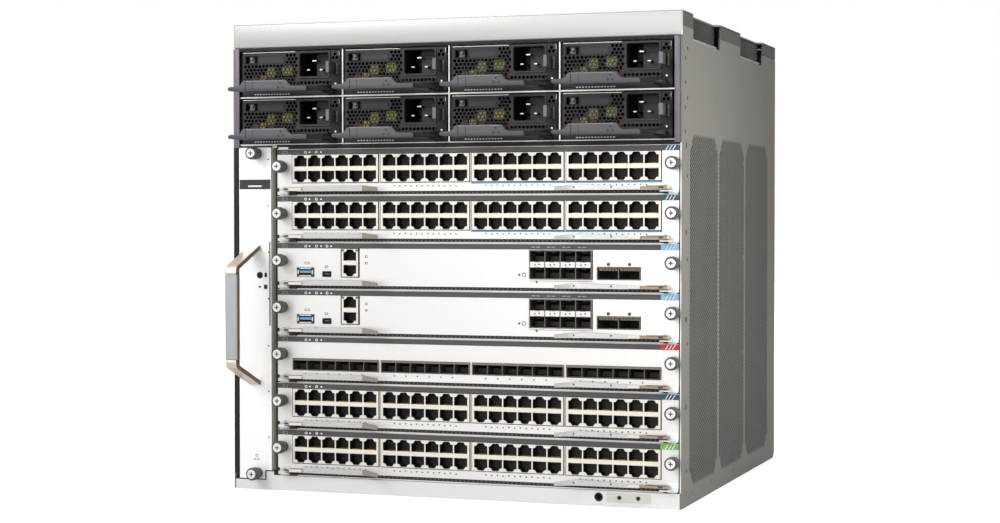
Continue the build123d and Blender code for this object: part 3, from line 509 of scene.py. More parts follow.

# a dark plate, painted near black as the shade inside the recess, shows in every lifting recess, with its folded foot
# as a light line
liftPlate = {"setback": 3.6, "lip": 1.2, "drop": 4.5, "ends": (4.0, 10.0)}
bm = bmesh.new()
for side in (-1, 1):
    for i in range(2):
        y0 = front + sidePanel["recessStart"] + i * sidePanel["recessStep"] + liftPlate["ends"][0]
        y1 = y0 + sidePanel["recessLength"] - liftPlate["ends"][0] - liftPlate["ends"][1]
        face = chassis["outer"] - liftPlate["setback"]
        lip = chassis["outer"] - liftPlate["lip"]
        top = chassis["height"] - liftPlate["drop"]
        base = chassis["shelfTop"]
        x0, x1 = sorted((side * (face - 1.6), side * face))
        addBox(bm, (x0, x1), (y0, y1), (base + 1.6, top), 0, 0.5)
        x0, x1 = sorted((side * (face - 10), side * lip))
        addBox(bm, (x0, x1), (y0, y1), (base, base + 1.6), 1, 0.4)
# the plate's near-black colour is painted shade of the lifting recess
recessShadeGrey = surface("recessShadeGreyPaint", "#171614", "#1d1c1a", 1.0, roughness=(0.4, 0.5))
finishPiece("liftPlates", bm, [recessShadeGrey, zincAndHighlight], "chassis", ["lift_plates"])

# ---- top cover ----
topCover = {"flange": 13.2, "notch": 6.0, "flare": 7.0}
bm = bmesh.new()
outer, height, sheet = chassis["outer"], chassis["height"], chassis["sheet"]
y0, y1 = front + 4.3, chassis["back"]
recessFronts = [front + sidePanel["recessStart"] + i * sidePanel["recessStep"] for i in range(2)]
notches = [(y, y + sidePanel["recessLength"]) for y in recessFronts]
right = [(outer, y0)]
for a, b in notches:
    right += [(outer, a), (outer - topCover["notch"], a + 3), (outer - topCover["notch"], b - 4), (outer, b)]
right.append((outer, y1))
left = [(-x, y) for x, y in reversed(right)]
addPrism(bm, right + left, "z", height - sheet, height, 1, 0.5, 2)
# the side flanges take the darker cover colour: painted shade along the top of the sides
for side in (-1, 1):
    x0, x1 = sorted((side * (outer - sheet), side * outer))
    spans = [(y0, notches[0][0]), (notches[0][1], notches[1][0]), (notches[1][1], y1)]
    for i, (a, b) in enumerate(spans):
        low = height - topCover["flange"]
        flare = topCover["flare"] if i else 0.0
        points = [(a, low), (b, low), (b, height - 0.1), (a + flare * 0.5, height - 0.1), (a, height - flare)]
        if not flare:
            points = [(a, low), (b, low), (b, height - 0.1), (a, height - 0.1)]
        addPrism(bm, points, "x", x0, x1, 0, 0.3, 1)
finishPiece("topCover", bm, [coverShadeGrey, powderGrey], "chassis", ["top_cover"])

# ---- rear panel with four punched outlets ----
rearPanel = {"ventHalf": 44.8, "ventEdge": 6, "pitch": 6.0, "hole": 2.4, "top": 440.3,
             "screwRows": (12, 90, 168, 246, 318, 430), "screwColumns": (-209, -104, 0, 104, 209)}
bm = bmesh.new()
y0, y1 = chassis["back"] - chassis["sheet"], chassis["back"]
inner = chassis["inner"]
vents = []
for column in range(4):
    x = (column - 1.5) * chassis["bayPitch"]
    vents.append((x - rearPanel["ventHalf"], x + rearPanel["ventHalf"],
                  chassis["shelfBase"] + rearPanel["ventEdge"], chassis["shelfTop"] - rearPanel["ventEdge"]))
loops = [rectangle(-inner, inner, 0, rearPanel["top"])]
loops += [rectangle(a, b, c, d, 3.0) for a, b, c, d in vents]
addSheet(bm, loops, "y", y0, y1)
for a, b, c, d in vents:
    holeSheet(bm, rectangle(a - 2, b + 2, c - 2, d + 2), (a + 1, b - 1, c + 1, d - 1, 0.0), rearPanel["pitch"],
              rearPanel["hole"], "y", y0 + 0.2, y0 + 1.2)
rearHead = turnedMesh([(0, -0.55), (1.8, -0.45), (2.9, -0.05), (3.0, 0.1), (0, 0.1)], 12)
for z in rearPanel["screwRows"]:
    for x in rearPanel["screwColumns"]:
        stamp(bm, rearHead, (x, y1, z), Matrix.Rotation(math.pi, 4, "Z"))
finishPiece("rearPanel", bm, [powderGrey], "chassis", ["rear_panel"])

# ---- front bezel and bottom rail ----
topBezel = {"depth": 4.0, "round": 1.4}
bm = bmesh.new()
z0, z1 = chassis["bezelBase"], chassis["height"]
addBox(bm, (-outer, outer), (front, front + topBezel["depth"]), (z0, z1), 0, topBezel["round"], 3)
addBox(bm, (-outer + 0.4, outer - 0.4), (front + 0.9, front + 3.9), (z1 - 0.9, z1 - 0.2), 1)
finishPiece("topBezel", bm, [bezelSatin, darkInk], "chassis", ["top_bezel"])

bottomRail = {"height": 13.9, "step": 4.5, "dividerLeft": -179.995, "jackX": 143.5, "holeZ": 8.0,
              "earthX": (162.75, 180.25)}
bm = bmesh.new()
r = bottomRail
low = chassis["slotFirst"] - r["step"]
outline = [(-inner, 0), (inner, 0), (inner, r["height"]), (r["dividerLeft"], r["height"]), (r["dividerLeft"], low),
           (-inner, low)]
loops = [outline, ring(r["jackX"], r["holeZ"], 4.0, 20)] + [ring(x, r["holeZ"], 2.0, 16) for x in r["earthX"]]
addSheet(bm, loops, "y", front, front + 4)
padLoops = [rectangle(150.8, 192.3, 3.75, 12.25, 1.5)] + [ring(x, r["holeZ"], 2.0, 16) for x in r["earthX"]]
addSheet(bm, padLoops, "y", front - 0.3, front + 0.1, 1)
addTurned(bm, [(2.1, front + 12), (2.1, front + 0.2), (2.6, front - 0.3), (4.0, front - 0.3), (4.0, front + 12)],
          (r["jackX"], r["holeZ"]), 24, 2)
addTurned(bm, [(0, front + 11.5), (2.0, front + 11.5), (2.0, front + 12.5), (0, front + 12.5)],
          (r["jackX"], r["holeZ"]), 12, 3)
for x in r["earthX"]:
    addTurned(bm, [(0, front + 3.2), (1.95, front + 3.2), (1.95, front + 3.9), (0, front + 3.9)],
              (x, r["holeZ"]), 12, 3)
finishPiece("bottomRail", bm, [railSatin, zincAndHighlight, deepBlack, portBlack], "chassis",
            ["bottom_rail"])
print("shell and front strips made")

# ---- shelf plates: their bright edges frame the supplies ----
powerShelf = {"backEdge": 99.3, "divider": 1.2}
bm = bmesh.new()
base = chassis["shelfBase"]
depth = (front + 0.3, powerShelf["backEdge"])
for z in (base, base + chassis["rowPitch"]):
    addBox(bm, (-inner, inner), depth, (z, z + sheet), 0, 0.3, 1)
addBox(bm, (-inner, inner), (front + 0.3, chassis["back"] - 1.9),
       (chassis["shelfTop"] - sheet, chassis["shelfTop"]), 0, 0.3, 1)
for i in (-1, 0, 1):
    x, half = i * chassis["bayPitch"], powerShelf["divider"] / 2
    addBox(bm, (x - half, x + half), (front + 0.3, front + 300), (base + 0.8, chassis["shelfTop"] - 0.8), 0)
addBox(bm, (-174.4, inner), (front + 0.3, front + 1.9), (324.2, base + 0.8), 1)
finishPiece("powerShelf", bm, [satinStrip, deepBlack], "chassis", ["power_shelf"])

# seams beside the cards: a seal, a chromated edge and black strips that paint the shade in the gaps that frame them;
# the outermost left strip also paints shade over the left side panel's front edge
seams = {
    "low": 14.5, "top": 325.0,
    # left, right, set back from the front, material
    "bars": ((-180.2, -178.9, 1.2, 0), (-178.9, -176.3, 1.4, 1), (-176.3, -173.8, 1.6, 2),
             (-219.4, -214.9, -0.1, 2), (217.3, 218.1, -0.1, 2), (218.3, 219.4, -0.1, 3)),
}
bm = bmesh.new()
for a, b, back, slot in seams["bars"]:
    addBox(bm, (a, b), (front + back, front + back + 0.7), (seams["low"], seams["top"]), slot)
# the rail's tab beside the fan tray, outlined by dark seams
addBox(bm, (-186.4, -178.0), (front + 0.3, front + 1.8), (9.7, 17.4), 3)
for a, b, c, d in ((-219.2, -186.4, 8.9, 9.9), (-187.2, -186.2, 8.9, 18.3), (-187.2, -178.0, 17.4, 18.4),
                   (-178.0, -174.2, 14.0, 19.2)):
    addBox(bm, (a, b), (front - 0.1, front + 0.4), (c, d), 2)
finishPiece("cageSeams", bm, [sealGreen, oliveEdgeAndShade, deepBlack, railSatin], "chassis")

powerSurround = {"left": 217.795, "width": 4.8, "proud": 1.5, "base": 325.3, "top": 419.4}
bm = bmesh.new()
p = powerSurround
for side in (-1, 1):
    x0, x1 = sorted((side * p["left"], side * (p["left"] - p["width"])))
    addBox(bm, (x0, x1), (front - p["proud"], front + 0.2), (p["base"], p["top"]), 0, 0.6)
addBox(bm, (-p["left"], p["left"]), (front - p["proud"] + 0.2, front + 0.2), (p["top"] - 2.4, p["top"]), 1, 0.3, 1)
finishPiece("powerSurround", bm, [postPlum, deepBlack], "chassis", ["power_surround"])

# ---- power supplies ----
supply = {
    "width": 101.6, "height": 42.0, "depth": 300.0, "face": 1.0, "pitch": 3.8, "hole": 1.72, "sheet": 1.0,
    "inletX": 24.2, "inletZ": 29.1, "inlet": (33.0, 25.2), "rim": 1.2, "proud": 1.2, "pocket": 36.0,
    "window": (-47.4, -35.1, 31.3, 38.7), "plate": (-34.4, -6.9, 30.9, 38.1),
    "rocker": (-43.9, -38.4, 32.1, 38.0), "latchX": 43.6, "latchZ": 25.6, "latch": (3.0, 14.0, 10.6),
    "leverPivotX": 42.0, "leverPivotY": -6.0,
    # left, right, set back, bottom, top and material of the parts behind the honeycomb
    "parts": ((-27.5, -19.0, 5, 19, 28.5, 5), (-12, -1.5, 6, 20, 29.5, 5), (-36.5, -29.5, 7, 14, 20.5, 5),
              (-43, -37, 5, 14.5, 19.5, 6), (-26, -20, 4.5, 14, 18.3, 6), (-33, -28, 14, 12, 22, 13),
              (-48, -40, 16, 20, 27, 1), (0.5, 4.5, 7, 12.5, 18, 6), (8, 16, 6, 5, 13, 1)),
}


def supplyMesh():
    # one supply, with x and z counted from the middle of its bay floor
    s = supply
    bm = bmesh.new()
    half = s["width"] / 2
    face = front + s["face"]
    z0, z1 = 0.3, 0.3 + s["height"]
    # case: an open-fronted box of five walls, with a black sheet behind the parts that show as painted shade for the
    # dark inside
    t = 1.0
    addBox(bm, (-half, half), (face + 0.2, front + s["depth"]), (z0, z0 + t), 0)
    addBox(bm, (-half, half), (face + 0.2, front + s["depth"]), (z1 - t, z1), 0)
    addBox(bm, (-half, -half + t), (face + 1, front + s["depth"]), (z0 + t, z1 - t), 0)
    addBox(bm, (half - t, half), (face + 1, front + s["depth"]), (z0 + t, z1 - t), 0)
    addBox(bm, (-half + t, half - t), (front + s["depth"] - t, front + s["depth"]), (z0 + t, z1 - t), 0)
    addBox(bm, (-half + t, half - t), (face + 40, face + 41), (z0 + t, z1 - t), 1)
    ix, iz = s["inletX"], s["inletZ"]
    hx, hz = s["inlet"][0] / 2, s["inlet"][1] / 2
    rim = s["rim"]
    mouth = rectangle(ix - hx + rim, ix + hx - rim, iz - hz + rim, iz + hz - rim, 2.0)
    w0, w1, w2, w3 = s["window"]
    window = rectangle(w0, w1, w2, w3, 0.8)
    # honeycomb front: rows of small cells left free of the window, the plate and the inlet
    keepOut = [(-half, s["plate"][1] + 1.6, s["plate"][2] - 1.7, z1),
               (ix - hx - 2.2, ix + hx + 1.4, iz - hz - 1.2, z1), (ix + hx, 50, 16.5, 33)]
    holeSheet(bm, rectangle(-half, half, z0, z1), (-half + 0.6, half - 1.2, 9.6, z1 - 1.0, 0.0), s["pitch"],
              s["hole"], "y", face, face + s["sheet"], 0, keepOut=keepOut, cutOuts=[mouth, window])
    # a folded edge along the top of the front, drawn in bright zinc as a painted highlight where it catches the light
    fold = [(face - 0.3, z1 - 0.9), (face - 0.3, z1 - 0.2), (face + 0.5, z1), (face + 0.5, z1 - 0.9)]
    addPrism(bm, fold, "x", -half + 0.5, ix - hx - 3, 4, 0.15, 1)
    addBox(bm, (-half + 0.2, -half + 0.9), (face - 0.3, face + 0.1), (10, z1 - 0.5), 2, 0.15, 1)
    # rating plate and the rocker in its black well
    a, b, c, d = s["plate"]
    addPrism(bm, rectangle(a, b, c, d, 0.9), "y", face - 0.5, face + 0.2, 2, 0.25, 1)
    addSheet(bm, [rectangle(a + 0.9, b - 0.9, c + 0.9, d - 0.9, 0.7),
                  rectangle(a + 1.2, b - 1.2, c + 1.2, d - 1.2, 0.5)], "y", face - 0.58, face - 0.4, 1)
    addSheet(bm, [rectangle(w0 - 0.5, w1 + 0.5, w2 - 0.5, w3 + 0.5, 1.0), window], "y", face - 0.6, face + 0.2, 1)
    addSheet(bm, [window, rectangle(w0 + 0.5, w1 - 0.5, w2 + 0.5, w3 - 0.5, 0.5)], "y", face + 0.1, face + 7, 1)
    addBox(bm, (w0, w1), (face + 7, face + 8), (w2, w3), 1)
    r0, r1, r2, r3 = s["rocker"]
    middle = (r2 + r3) / 2
    rocking = [(face + 6, r2), (face + 0.3, r2), (face + 1.8, middle), (face - 0.6, r3), (face + 6, r3)]
    addPrism(bm, rocking, "x", r0, r1, 3, 0.3, 2)
    addPrism(bm, ring(r0 + 2.7, middle + 1.2, 1.5, 12), "y", face - 0.1, face + 1.6, 11, 0.2, 1)
    # inlet: thin rim around a deep black pocket, a lighter core at its end with a black line painted on it as the top
    # blade's shadow, and three blades whose bodies are painted black as shade and whose tips are painted bright as a
    # highlight
    rimOut = rectangle(ix - hx, ix + hx, iz - hz, iz + hz, 2.6)
    addSheet(bm, [rimOut, mouth], "y", face - s["proud"], face + 0.2, 2)
    well = rectangle(ix - hx + rim + 0.6, ix + hx - rim - 0.6, iz - hz + rim + 0.6, iz + hz - rim - 0.6, 1.6)
    addSheet(bm, [mouth, well], "y", face - s["proud"] + 0.6, face + s["pocket"], 1)
    addBox(bm, (ix - hx + rim, ix + hx - rim), (face + s["pocket"], face + s["pocket"] + 1),
           (iz - hz + rim, iz + hz - rim), 2)
    addBox(bm, (ix - 3.5, ix + 11.0), (face + 14, face + 15), (iz - 11.2, iz + 11.2), 2)
    # a black slanted line on the core: painted shadow of the top blade
    addPrism(bm, [(ix - 3.4, iz + 4.2), (ix + 10.9, iz + 2.4), (ix + 10.9, iz + 3.0), (ix - 3.4, iz + 5.0)], "y",
             face + 13.8, face + 14.1, 1)
    for bx, bz, blade in ((-3.2, 4.2, 4.4), (-9.4, -4.3, 3.2), (3.8, -4.3, 3.2)):
        x0, x1 = ix + bx - blade / 2, ix + bx + blade / 2
        # blade bodies in black are painted shade; the bright tips are a painted highlight
        addBox(bm, (x0, x1), (face + 8, face + s["pocket"]), (iz + bz - 0.7, iz + bz + 0.7), 1)
        addBox(bm, (x0, x1), (face + 6.6, face + 8), (iz + bz - 0.75, iz + bz + 0.75), 12, 0.3, 1)
    # latch tab with a bright end, its ribs, the label strip and the clip beside it
    lx, lz = s["latchX"], s["latchZ"]
    w, out, h = s["latch"]
    addBox(bm, (lx - w / 2, lx + w / 2), (face - out, face + 0.5), (lz - h / 2, lz + h / 2), 3, 0.6)
    addBox(bm, (lx - w / 2 - 0.15, lx + w / 2 + 0.15), (face - out - 0.15, face - out + 1),
           (lz - h / 2 + 0.2, lz + h / 2 + 0.1), 11, 0.3, 1)
    addBox(bm, (ix + hx + 0.4, half - 0.4), (face - 0.3, face + 0.1), (8.8, 33.8), 1, 0.2, 1)
    for i in range(5):
        z = lz - 3.6 + i * 1.8
        addBox(bm, (lx - w / 2 - 0.2, lx + w / 2 + 0.2), (face - out + 1.2, face - out + 3.8), (z - 0.3, z + 0.3), 3)
    addBox(bm, (lx + 3.2, lx + 4.7), (face - 1.0, face + 0.1), (lz - 6, lz + 4.5), 7, 0.2, 1)
    addBox(bm, (half - 1.0, half - 0.5), (face - 1.4, face), (37, 41.2), 9, 0.15, 1)
    addTurned(bm, [(0, face - 0.6), (0.9, face - 0.5), (1.2, face + 0.1), (0, face + 0.1)], (lx + 2.2, 10.8), 10, 9)
    # slotted lower lip, in the shadow under the lever
    addBox(bm, (-half + 0.3, half - 0.3), (face - 0.25, face + 0.1), (z0 + 0.3, 3.3), 1)
    for i in range(13):
        addBox(bm, (-38 + i * 2.9, -36.4 + i * 2.9), (face - 0.35, face + 0.1), (1.7, 2.5), 4)
    # the ear under the lever, and the parts that show through the honeycomb
    px, py = s["leverPivotX"], front + s["leverPivotY"]
    addBox(bm, (px - 5, px + 5), (py - 5, face + 0.2), (2.3, 3.5), 1, 0.4)
    for x0, x1, y, a, b, slot in s["parts"]:
        addPrism(bm, rectangle(x0, x1, a, b, 1.2), "y", face + y, face + y + 12, slot)
    for i in range(4):
        addTurned(bm, [(0, face + 16), (3.6, face + 16), (4, face + 16.5), (4, face + 30), (0, face + 30)],
                  (-44 + i * 13, 14 + (i % 2) * 9), 12, 13)
    # rear: the edge plug that meets the power backplane
    addBox(bm, (-26, 26), (front + s["depth"] - 0.2, front + s["depth"]), (8, 18), 10)
    return asMesh(bm, "supplyMesh")


supplyMaterials = [supplyDark, deepBlack, coreGrey, leverGrey, zincAndHighlight, tapeYellow, partRed, oliveEdgeAndShade, whiteInk,
                   zincAndHighlight, goldPlate, tabGrey, brightSteelAndHighlight, boardGreen]
supplyProto = supplyMesh()
bays = []
for row in range(2):
    for column in range(4):
        floorZ = chassis["shelfBase"] + sheet + (1 - row) * chassis["rowPitch"]
        bays.append(((column - 1.5) * chassis["bayPitch"], floorZ))
for number, (x, z) in enumerate(bays, start=1):
    bm = bmesh.new()
    stamp(bm, supplyProto, (x, 0, z))
    finishPiece("powerSupply%d" % number, bm, supplyMaterials, "power_supply_%d_body" % number,
                ["power_supply_%d" % number])
print("power supplies made")

# ---- ejector levers of the supplies ----
supplyLever = {"reach": 25.0, "thick": 6.5, "low": 3.4, "high": 7.9, "blockTop": 13.9, "blockLeft": -37.0,
               "blockRight": 6.4, "slope": 7.0, "tip": -53.6}


def supplyLeverMesh():
    v = supplyLever
    face = front - v["reach"]
    rear = face + v["thick"]
    bm = bmesh.new()
    bl, br, low, high, top, run = v["blockLeft"], v["blockRight"], v["low"], v["high"], v["blockTop"], v["slope"]
    # grip: rounded tip at the left, an S up to the block and an S down to the arm
    grip = [(v["tip"] + 1.5, low + 0.9), (bl - 4, low), (27.5, low), (27.5, high), (br + run, high),
            (br + run * 0.72, high + 0.5), (br + run * 0.45, high + 2.0), (br + run * 0.22, top - 1.6),
            (br + 0.6, top - 0.3), (br - 0.8, top), (bl + 0.8, top), (bl - 0.6, top - 0.3), (bl - run * 0.25, top - 1.5),
            (bl - run * 0.55, high + 1.6), (bl - run * 0.85, high + 0.7), (bl - run * 1.2, high + 0.4),
            (v["tip"] + 1.5, high + 0.2), (v["tip"] + 0.3, high - 0.8), (v["tip"], low + 2.4), (v["tip"] + 0.4, low + 1.4)]
    addPrism(bm, grip, "y", face, rear, 0, 0.7, 3)
    # arm: in plan it turns back to the pivot past the block; it is drawn black as painted shade where the lever turns
    # away from the light
    px, py = supply["leverPivotX"], front + supply["leverPivotY"]
    arm = [(27, face + 0.3), (27.8, face + 3.2), (35.2, face + 6.0), (41, face + 8.8), (44.6, face + 11.8),
           (px + 4.5, py - 1), (px + 4.3, py + 2), (px + 2, py + 4.2), (px - 1, py + 4.4),
           (px - 5, py), (px - 5, rear + 6), (37, rear + 4),
           (30, rear + 1.4), (27, rear - 0.2)]
    addPrism(bm, arm, "z", low + 0.2, high - 0.2, 1, 0.6, 2)
    # pivot cover and pin, drawn black with the dome as painted shade of the lever's turned end
    cap = turnedMesh([(0, -1.5), (3.6, -1.5), (4.2, -1.0), (4.2, 0.0), (0, 0.0)], 20, 1)
    stamp(bm, cap, (px, py, high), Matrix.Rotation(math.radians(-90), 4, "X"))
    dome = [(px - 9, high - 0.2), (px - 8, high + 1.2), (px - 5, high + 2.2), (px - 1, high + 2.2),
            (px + 2.5, high + 1.2), (px + 3.8, high - 0.2)]
    addPrism(bm, dome, "y", face + 8, py + 3.4, 1, 0.5, 2)
    # fine lines that frame the block's inset face, a pair of moulded marks, and ribs under the arm
    addBox(bm, (bl + 1.6, bl + 2.2), (face - 0.12, face + 0.2), (low + 1.0, top - 0.9), 1)
    addBox(bm, (bl + 9.0, bl + 9.3), (face - 0.12, face + 0.2), (low + 1.0, top - 0.9), 1)
    addBox(bm, (bl + 2.2, br - 2.5), (face - 0.12, face + 0.2), (top - 1.2, top - 0.95), 2)
    for x in (-1.0, 3.6):
        addSheet(bm, [ring(x, low + 3.4, 1.1, 8), ring(x, low + 3.4, 0.6, 8)], "y", face - 0.12, face + 0.2, 1)
    addPrism(bm, ring(1.2, low + 7.2, 0.9, 8), "y", face - 0.12, face + 0.2, 1)
    for i in range(4):
        x = bl + 4 + i * 9
        addBox(bm, (x, x + 6.5), (face + 1.6, rear - 1.6), (low - 0.15, low + 0.2), 1)
    return asMesh(bm, "supplyLeverMesh")


supplyLeverProto = supplyLeverMesh()
for number, (x, z) in enumerate(bays, start=1):
    bm = bmesh.new()
    stamp(bm, supplyLeverProto, (x, 0, z))
    finishPiece("supplyLever%d" % number, bm, [leverGrey, deepBlack, gripRubber], "supply_lever_%d_body" % number,
                ["supply_lever_%d" % number])
print("supply levers made")

# ---- cards ----
card = {
    "left": chassis["cardLeft"], "right": chassis["cardRight"], "portBase": 12.3, "portPitch": 14.15,
    "groupEdge": 2.3, "groupWidth": 89.5, "groupStep": 90.33, "groupLeft": 14.9,
    "faceLow": 4.1, "headerLow": 38.9, "headerHigh": 43.6, "top": 44.15, "depth": 325.0, "optic": 14.5,
    "leverInset": (9.0, 11.0),
}
copper, supervisor, cages = (1, 2, 6, 7), (3, 4), (5,)  # slots of each kind of card
cardMaterials = [cardSheet, bandGrey, shieldTin, portBlack, goldPlate, lensGreen, darkInk, whiteInk, meshDark, zincAndHighlight,
                 cageNickel, tongueBlue, tealInk, paleTab, edgeBrown, bladeSteel, dashGrey]


def socketOutline(cx, edge, up):
    # a network socket's mouth: square at its contact edge, stepped and slanted in to the latch
    k = 1 if up else -1
    right = [(6.5, 0), (6.5, 7.9), (4.5, 8.1), (3.8, 9.1), (3.2, 10.1), (2.5, 10.6)]
    points = right + [(-x, z) for x, z in reversed(right)]
    return [(cx + x, edge + k * z) for x, z in points]


def socketBlock(columns, width, edge):
    # a block of sockets in two rows: bright shield in a black frame, black moulding behind, gold wires inside
    bm = bmesh.new()
    mouths = []
    for i in range(columns):
        x = edge + (i + 0.5) * card["portPitch"]
        mouths += [(x, 11.2, False), (x, 15.2, True)]
    y0 = front - 1.0
    holes = [socketOutline(x, z, up) for x, z, up in mouths]
    frameIn = rectangle(0.9, width - 0.9, 0.2, 26.2, 0.3)
    addSheet(bm, [rectangle(0, width, -0.6, 26.9, 0.4), frameIn], "y", front - 0.1, front + 3, 3)
    addSheet(bm, [frameIn] + holes, "y", y0, y0 + 0.8, 2)
    addSheet(bm, [rectangle(1.0, width - 1.0, 0.3, 26.1)] + holes, "y", y0 + 0.8, y0 + 11.5, 3)
    addBox(bm, (1.0, width - 1.0), (y0 + 11.5, y0 + 13), (0.2, 25.8), 3)
    for x, z, up in mouths:
        k = 1 if up else -1
        for w in range(8):
            wx = x - 3.6 + w * 1.02
            a, b = sorted((z + k * 0.1, z + k * 0.6))
            addBox(bm, (wx - 0.2, wx + 0.2), (y0 + 3.0, y0 + 10.5), (a, b), 4)
    return asMesh(bm, "socketBlock")


groupProto = socketBlock(6, card["groupWidth"], card["groupEdge"])
pairProto = socketBlock(1, 18.3, 2.075)


def markMesh(up):
    bm = bmesh.new()
    k = 1 if up else -1
    addPrism(bm, [(-1.1, -0.7 * k), (1.1, -0.7 * k), (0, 0.8 * k)], "y", -0.12, 0.1, 6)
    return asMesh(bm, "mark")


marks = [markMesh(True), markMesh(False)]


def cageBlock(columns, rows, band):
    # pressed cages for optical modules: thin walls, a spring finger on each floor, black depth
    bm = bmesh.new()
    pitch, rowStep, tall = card["optic"], 15.0, 10.6
    width = columns * pitch + 1.0
    height = (rows - 1) * rowStep + tall
    y0 = front - 1.0
    holes = []
    for i in range(columns):
        for j in range(rows):
            x0 = 0.5 + i * pitch + 0.25
            z0 = 0.4 + j * rowStep
            holes.append(rectangle(x0, x0 + pitch - 0.5, z0, z0 + (9.8 if band else 8.6)))
    addSheet(bm, [rectangle(0, width, 0, height)] + holes, "y", y0, y0 + 36, 10)
    addBox(bm, (0.2, width - 0.2), (y0 + 36, y0 + 37), (0.2, height - 0.2), 3)
    addBox(bm, (0, width), (y0 - 0.1, y0 + 1), (height, height + 0.5), 6)
    addBox(bm, (width - 0.5, width + 0.3), (y0 - 0.1, y0 + 1), (0, height), 14)
    for i in range(columns):
        for j in range(rows):
            x = 0.5 + (i + 0.5) * pitch
            z0 = 0.9 + j * rowStep
            addPrism(bm, [(y0 + 0.6, z0 + 8.8), (y0 + 9, z0 + 6.9), (y0 + 9.3, z0 + 7.2), (y0 + 2, z0 + 8.9)], "x",
                     x - 2.4, x + 2.4, 10)
            addBox(bm, (x - 5.8, x + 5.8), (y0 + 12, y0 + 36), (z0 + 0.1, z0 + 4.4), 3)
            if band and j == 0:
                addBox(bm, (x - pitch / 2 + 0.5, x + pitch / 2 - 0.5), (y0 - 0.5, y0 + 0.2), (z0 + 9.4, z0 + 14.6), 7,
                       0.3, 1)
                for side in (-1, 1):
                    span = sorted((z0 + 12 + side * 2.1, z0 + 12 + side * 2.5))
                    addBox(bm, (x - 2.6, x + 2.6), (y0 - 0.6, y0 - 0.3), span, 16)
                stamp(bm, marks[0], (x - 2.0, y0 - 0.5, z0 + 12.0))
                stamp(bm, marks[1], (x + 2.0, y0 - 0.5, z0 + 12.0))
    return asMesh(bm, "cageBlock")


opticRow = cageBlock(6, 1, False)
opticStack = cageBlock(4, 2, True)


def smallConnectors():
    # data socket, console socket and the two wide cages of a supervisor, from the card's left end
    bm = bmesh.new()
    y0 = front - 1.0
    addSheet(bm, [rectangle(20.9, 37.1, 0, 8.2, 0.8), rectangle(22.3, 35.7, 1.2, 7.0, 0.3)], "y", y0, y0 + 12, 9)
    addBox(bm, (21.4, 36.6), (y0 + 12, y0 + 13), (0.4, 7.8), 3)
    addBox(bm, (22.9, 35.1), (y0 + 0.4, y0 + 12), (3.4, 5.6), 11, 0.2, 1)
    for i in range(4):
        addBox(bm, (24.4 + i * 2.7, 25.6 + i * 2.7), (y0 + 1.2, y0 + 6), (3.2, 3.5), 4)
    for x0, z0 in ((20.9, 0.0), (20.9, 5.9), (35.0, 0.0), (35.0, 5.9)):
        addBox(bm, (x0, x0 + 2.1), (y0 - 0.15, y0 + 0.2), (z0, z0 + 2.3), 3, 0.2, 1)
    addSheet(bm, [rectangle(46.6, 55.1, 0, 4.8, 0.5), rectangle(47.5, 54.2, 0.9, 4.0, 0.4)], "y", y0, y0 + 8, 3)
    addBox(bm, (46.8, 54.9), (y0 + 8, y0 + 9), (0.2, 4.6), 3)
    addBox(bm, (48.6, 53.1), (y0 + 1.0, y0 + 8), (2.2, 3.0), 10)
    a, b = 315.6, 355.6
    addSheet(bm, [rectangle(a, b, 0, 11), rectangle(a + 0.5, 335.3, 0.4, 10.2), rectangle(335.9, b - 0.5, 0.4, 10.2)], "y",
             y0, y0 + 36, 10)
    addBox(bm, (a + 0.2, b - 0.2), (y0 + 36, y0 + 37), (0.2, 10.8), 3)
    for x0 in (a + 0.8, 336.0):
        addBox(bm, (x0 + 0.2, x0 + 18.4), (y0 + 3, y0 + 36), (7.8, 9.9), 10)
        for i in range(6):
            x = x0 + 2 + i * 2.9
            addBox(bm, (x, x + 1.6), (y0 + 0.2, y0 + 3.2), (8.6, 9.9), 10, 0.15, 1)
    return asMesh(bm, "smallConnectors")


supervisorProto = smallConnectors()
tags = {1: tagNavy, 2: tagNavy, 3: tagSky, 4: tagSky, 5: tagRed, 6: tagNavy, 7: tagGreen}


def slotBase(slot):
    return chassis["slotFirst"] + (chassis["slotCount"] - slot) * chassis["slotPitch"]


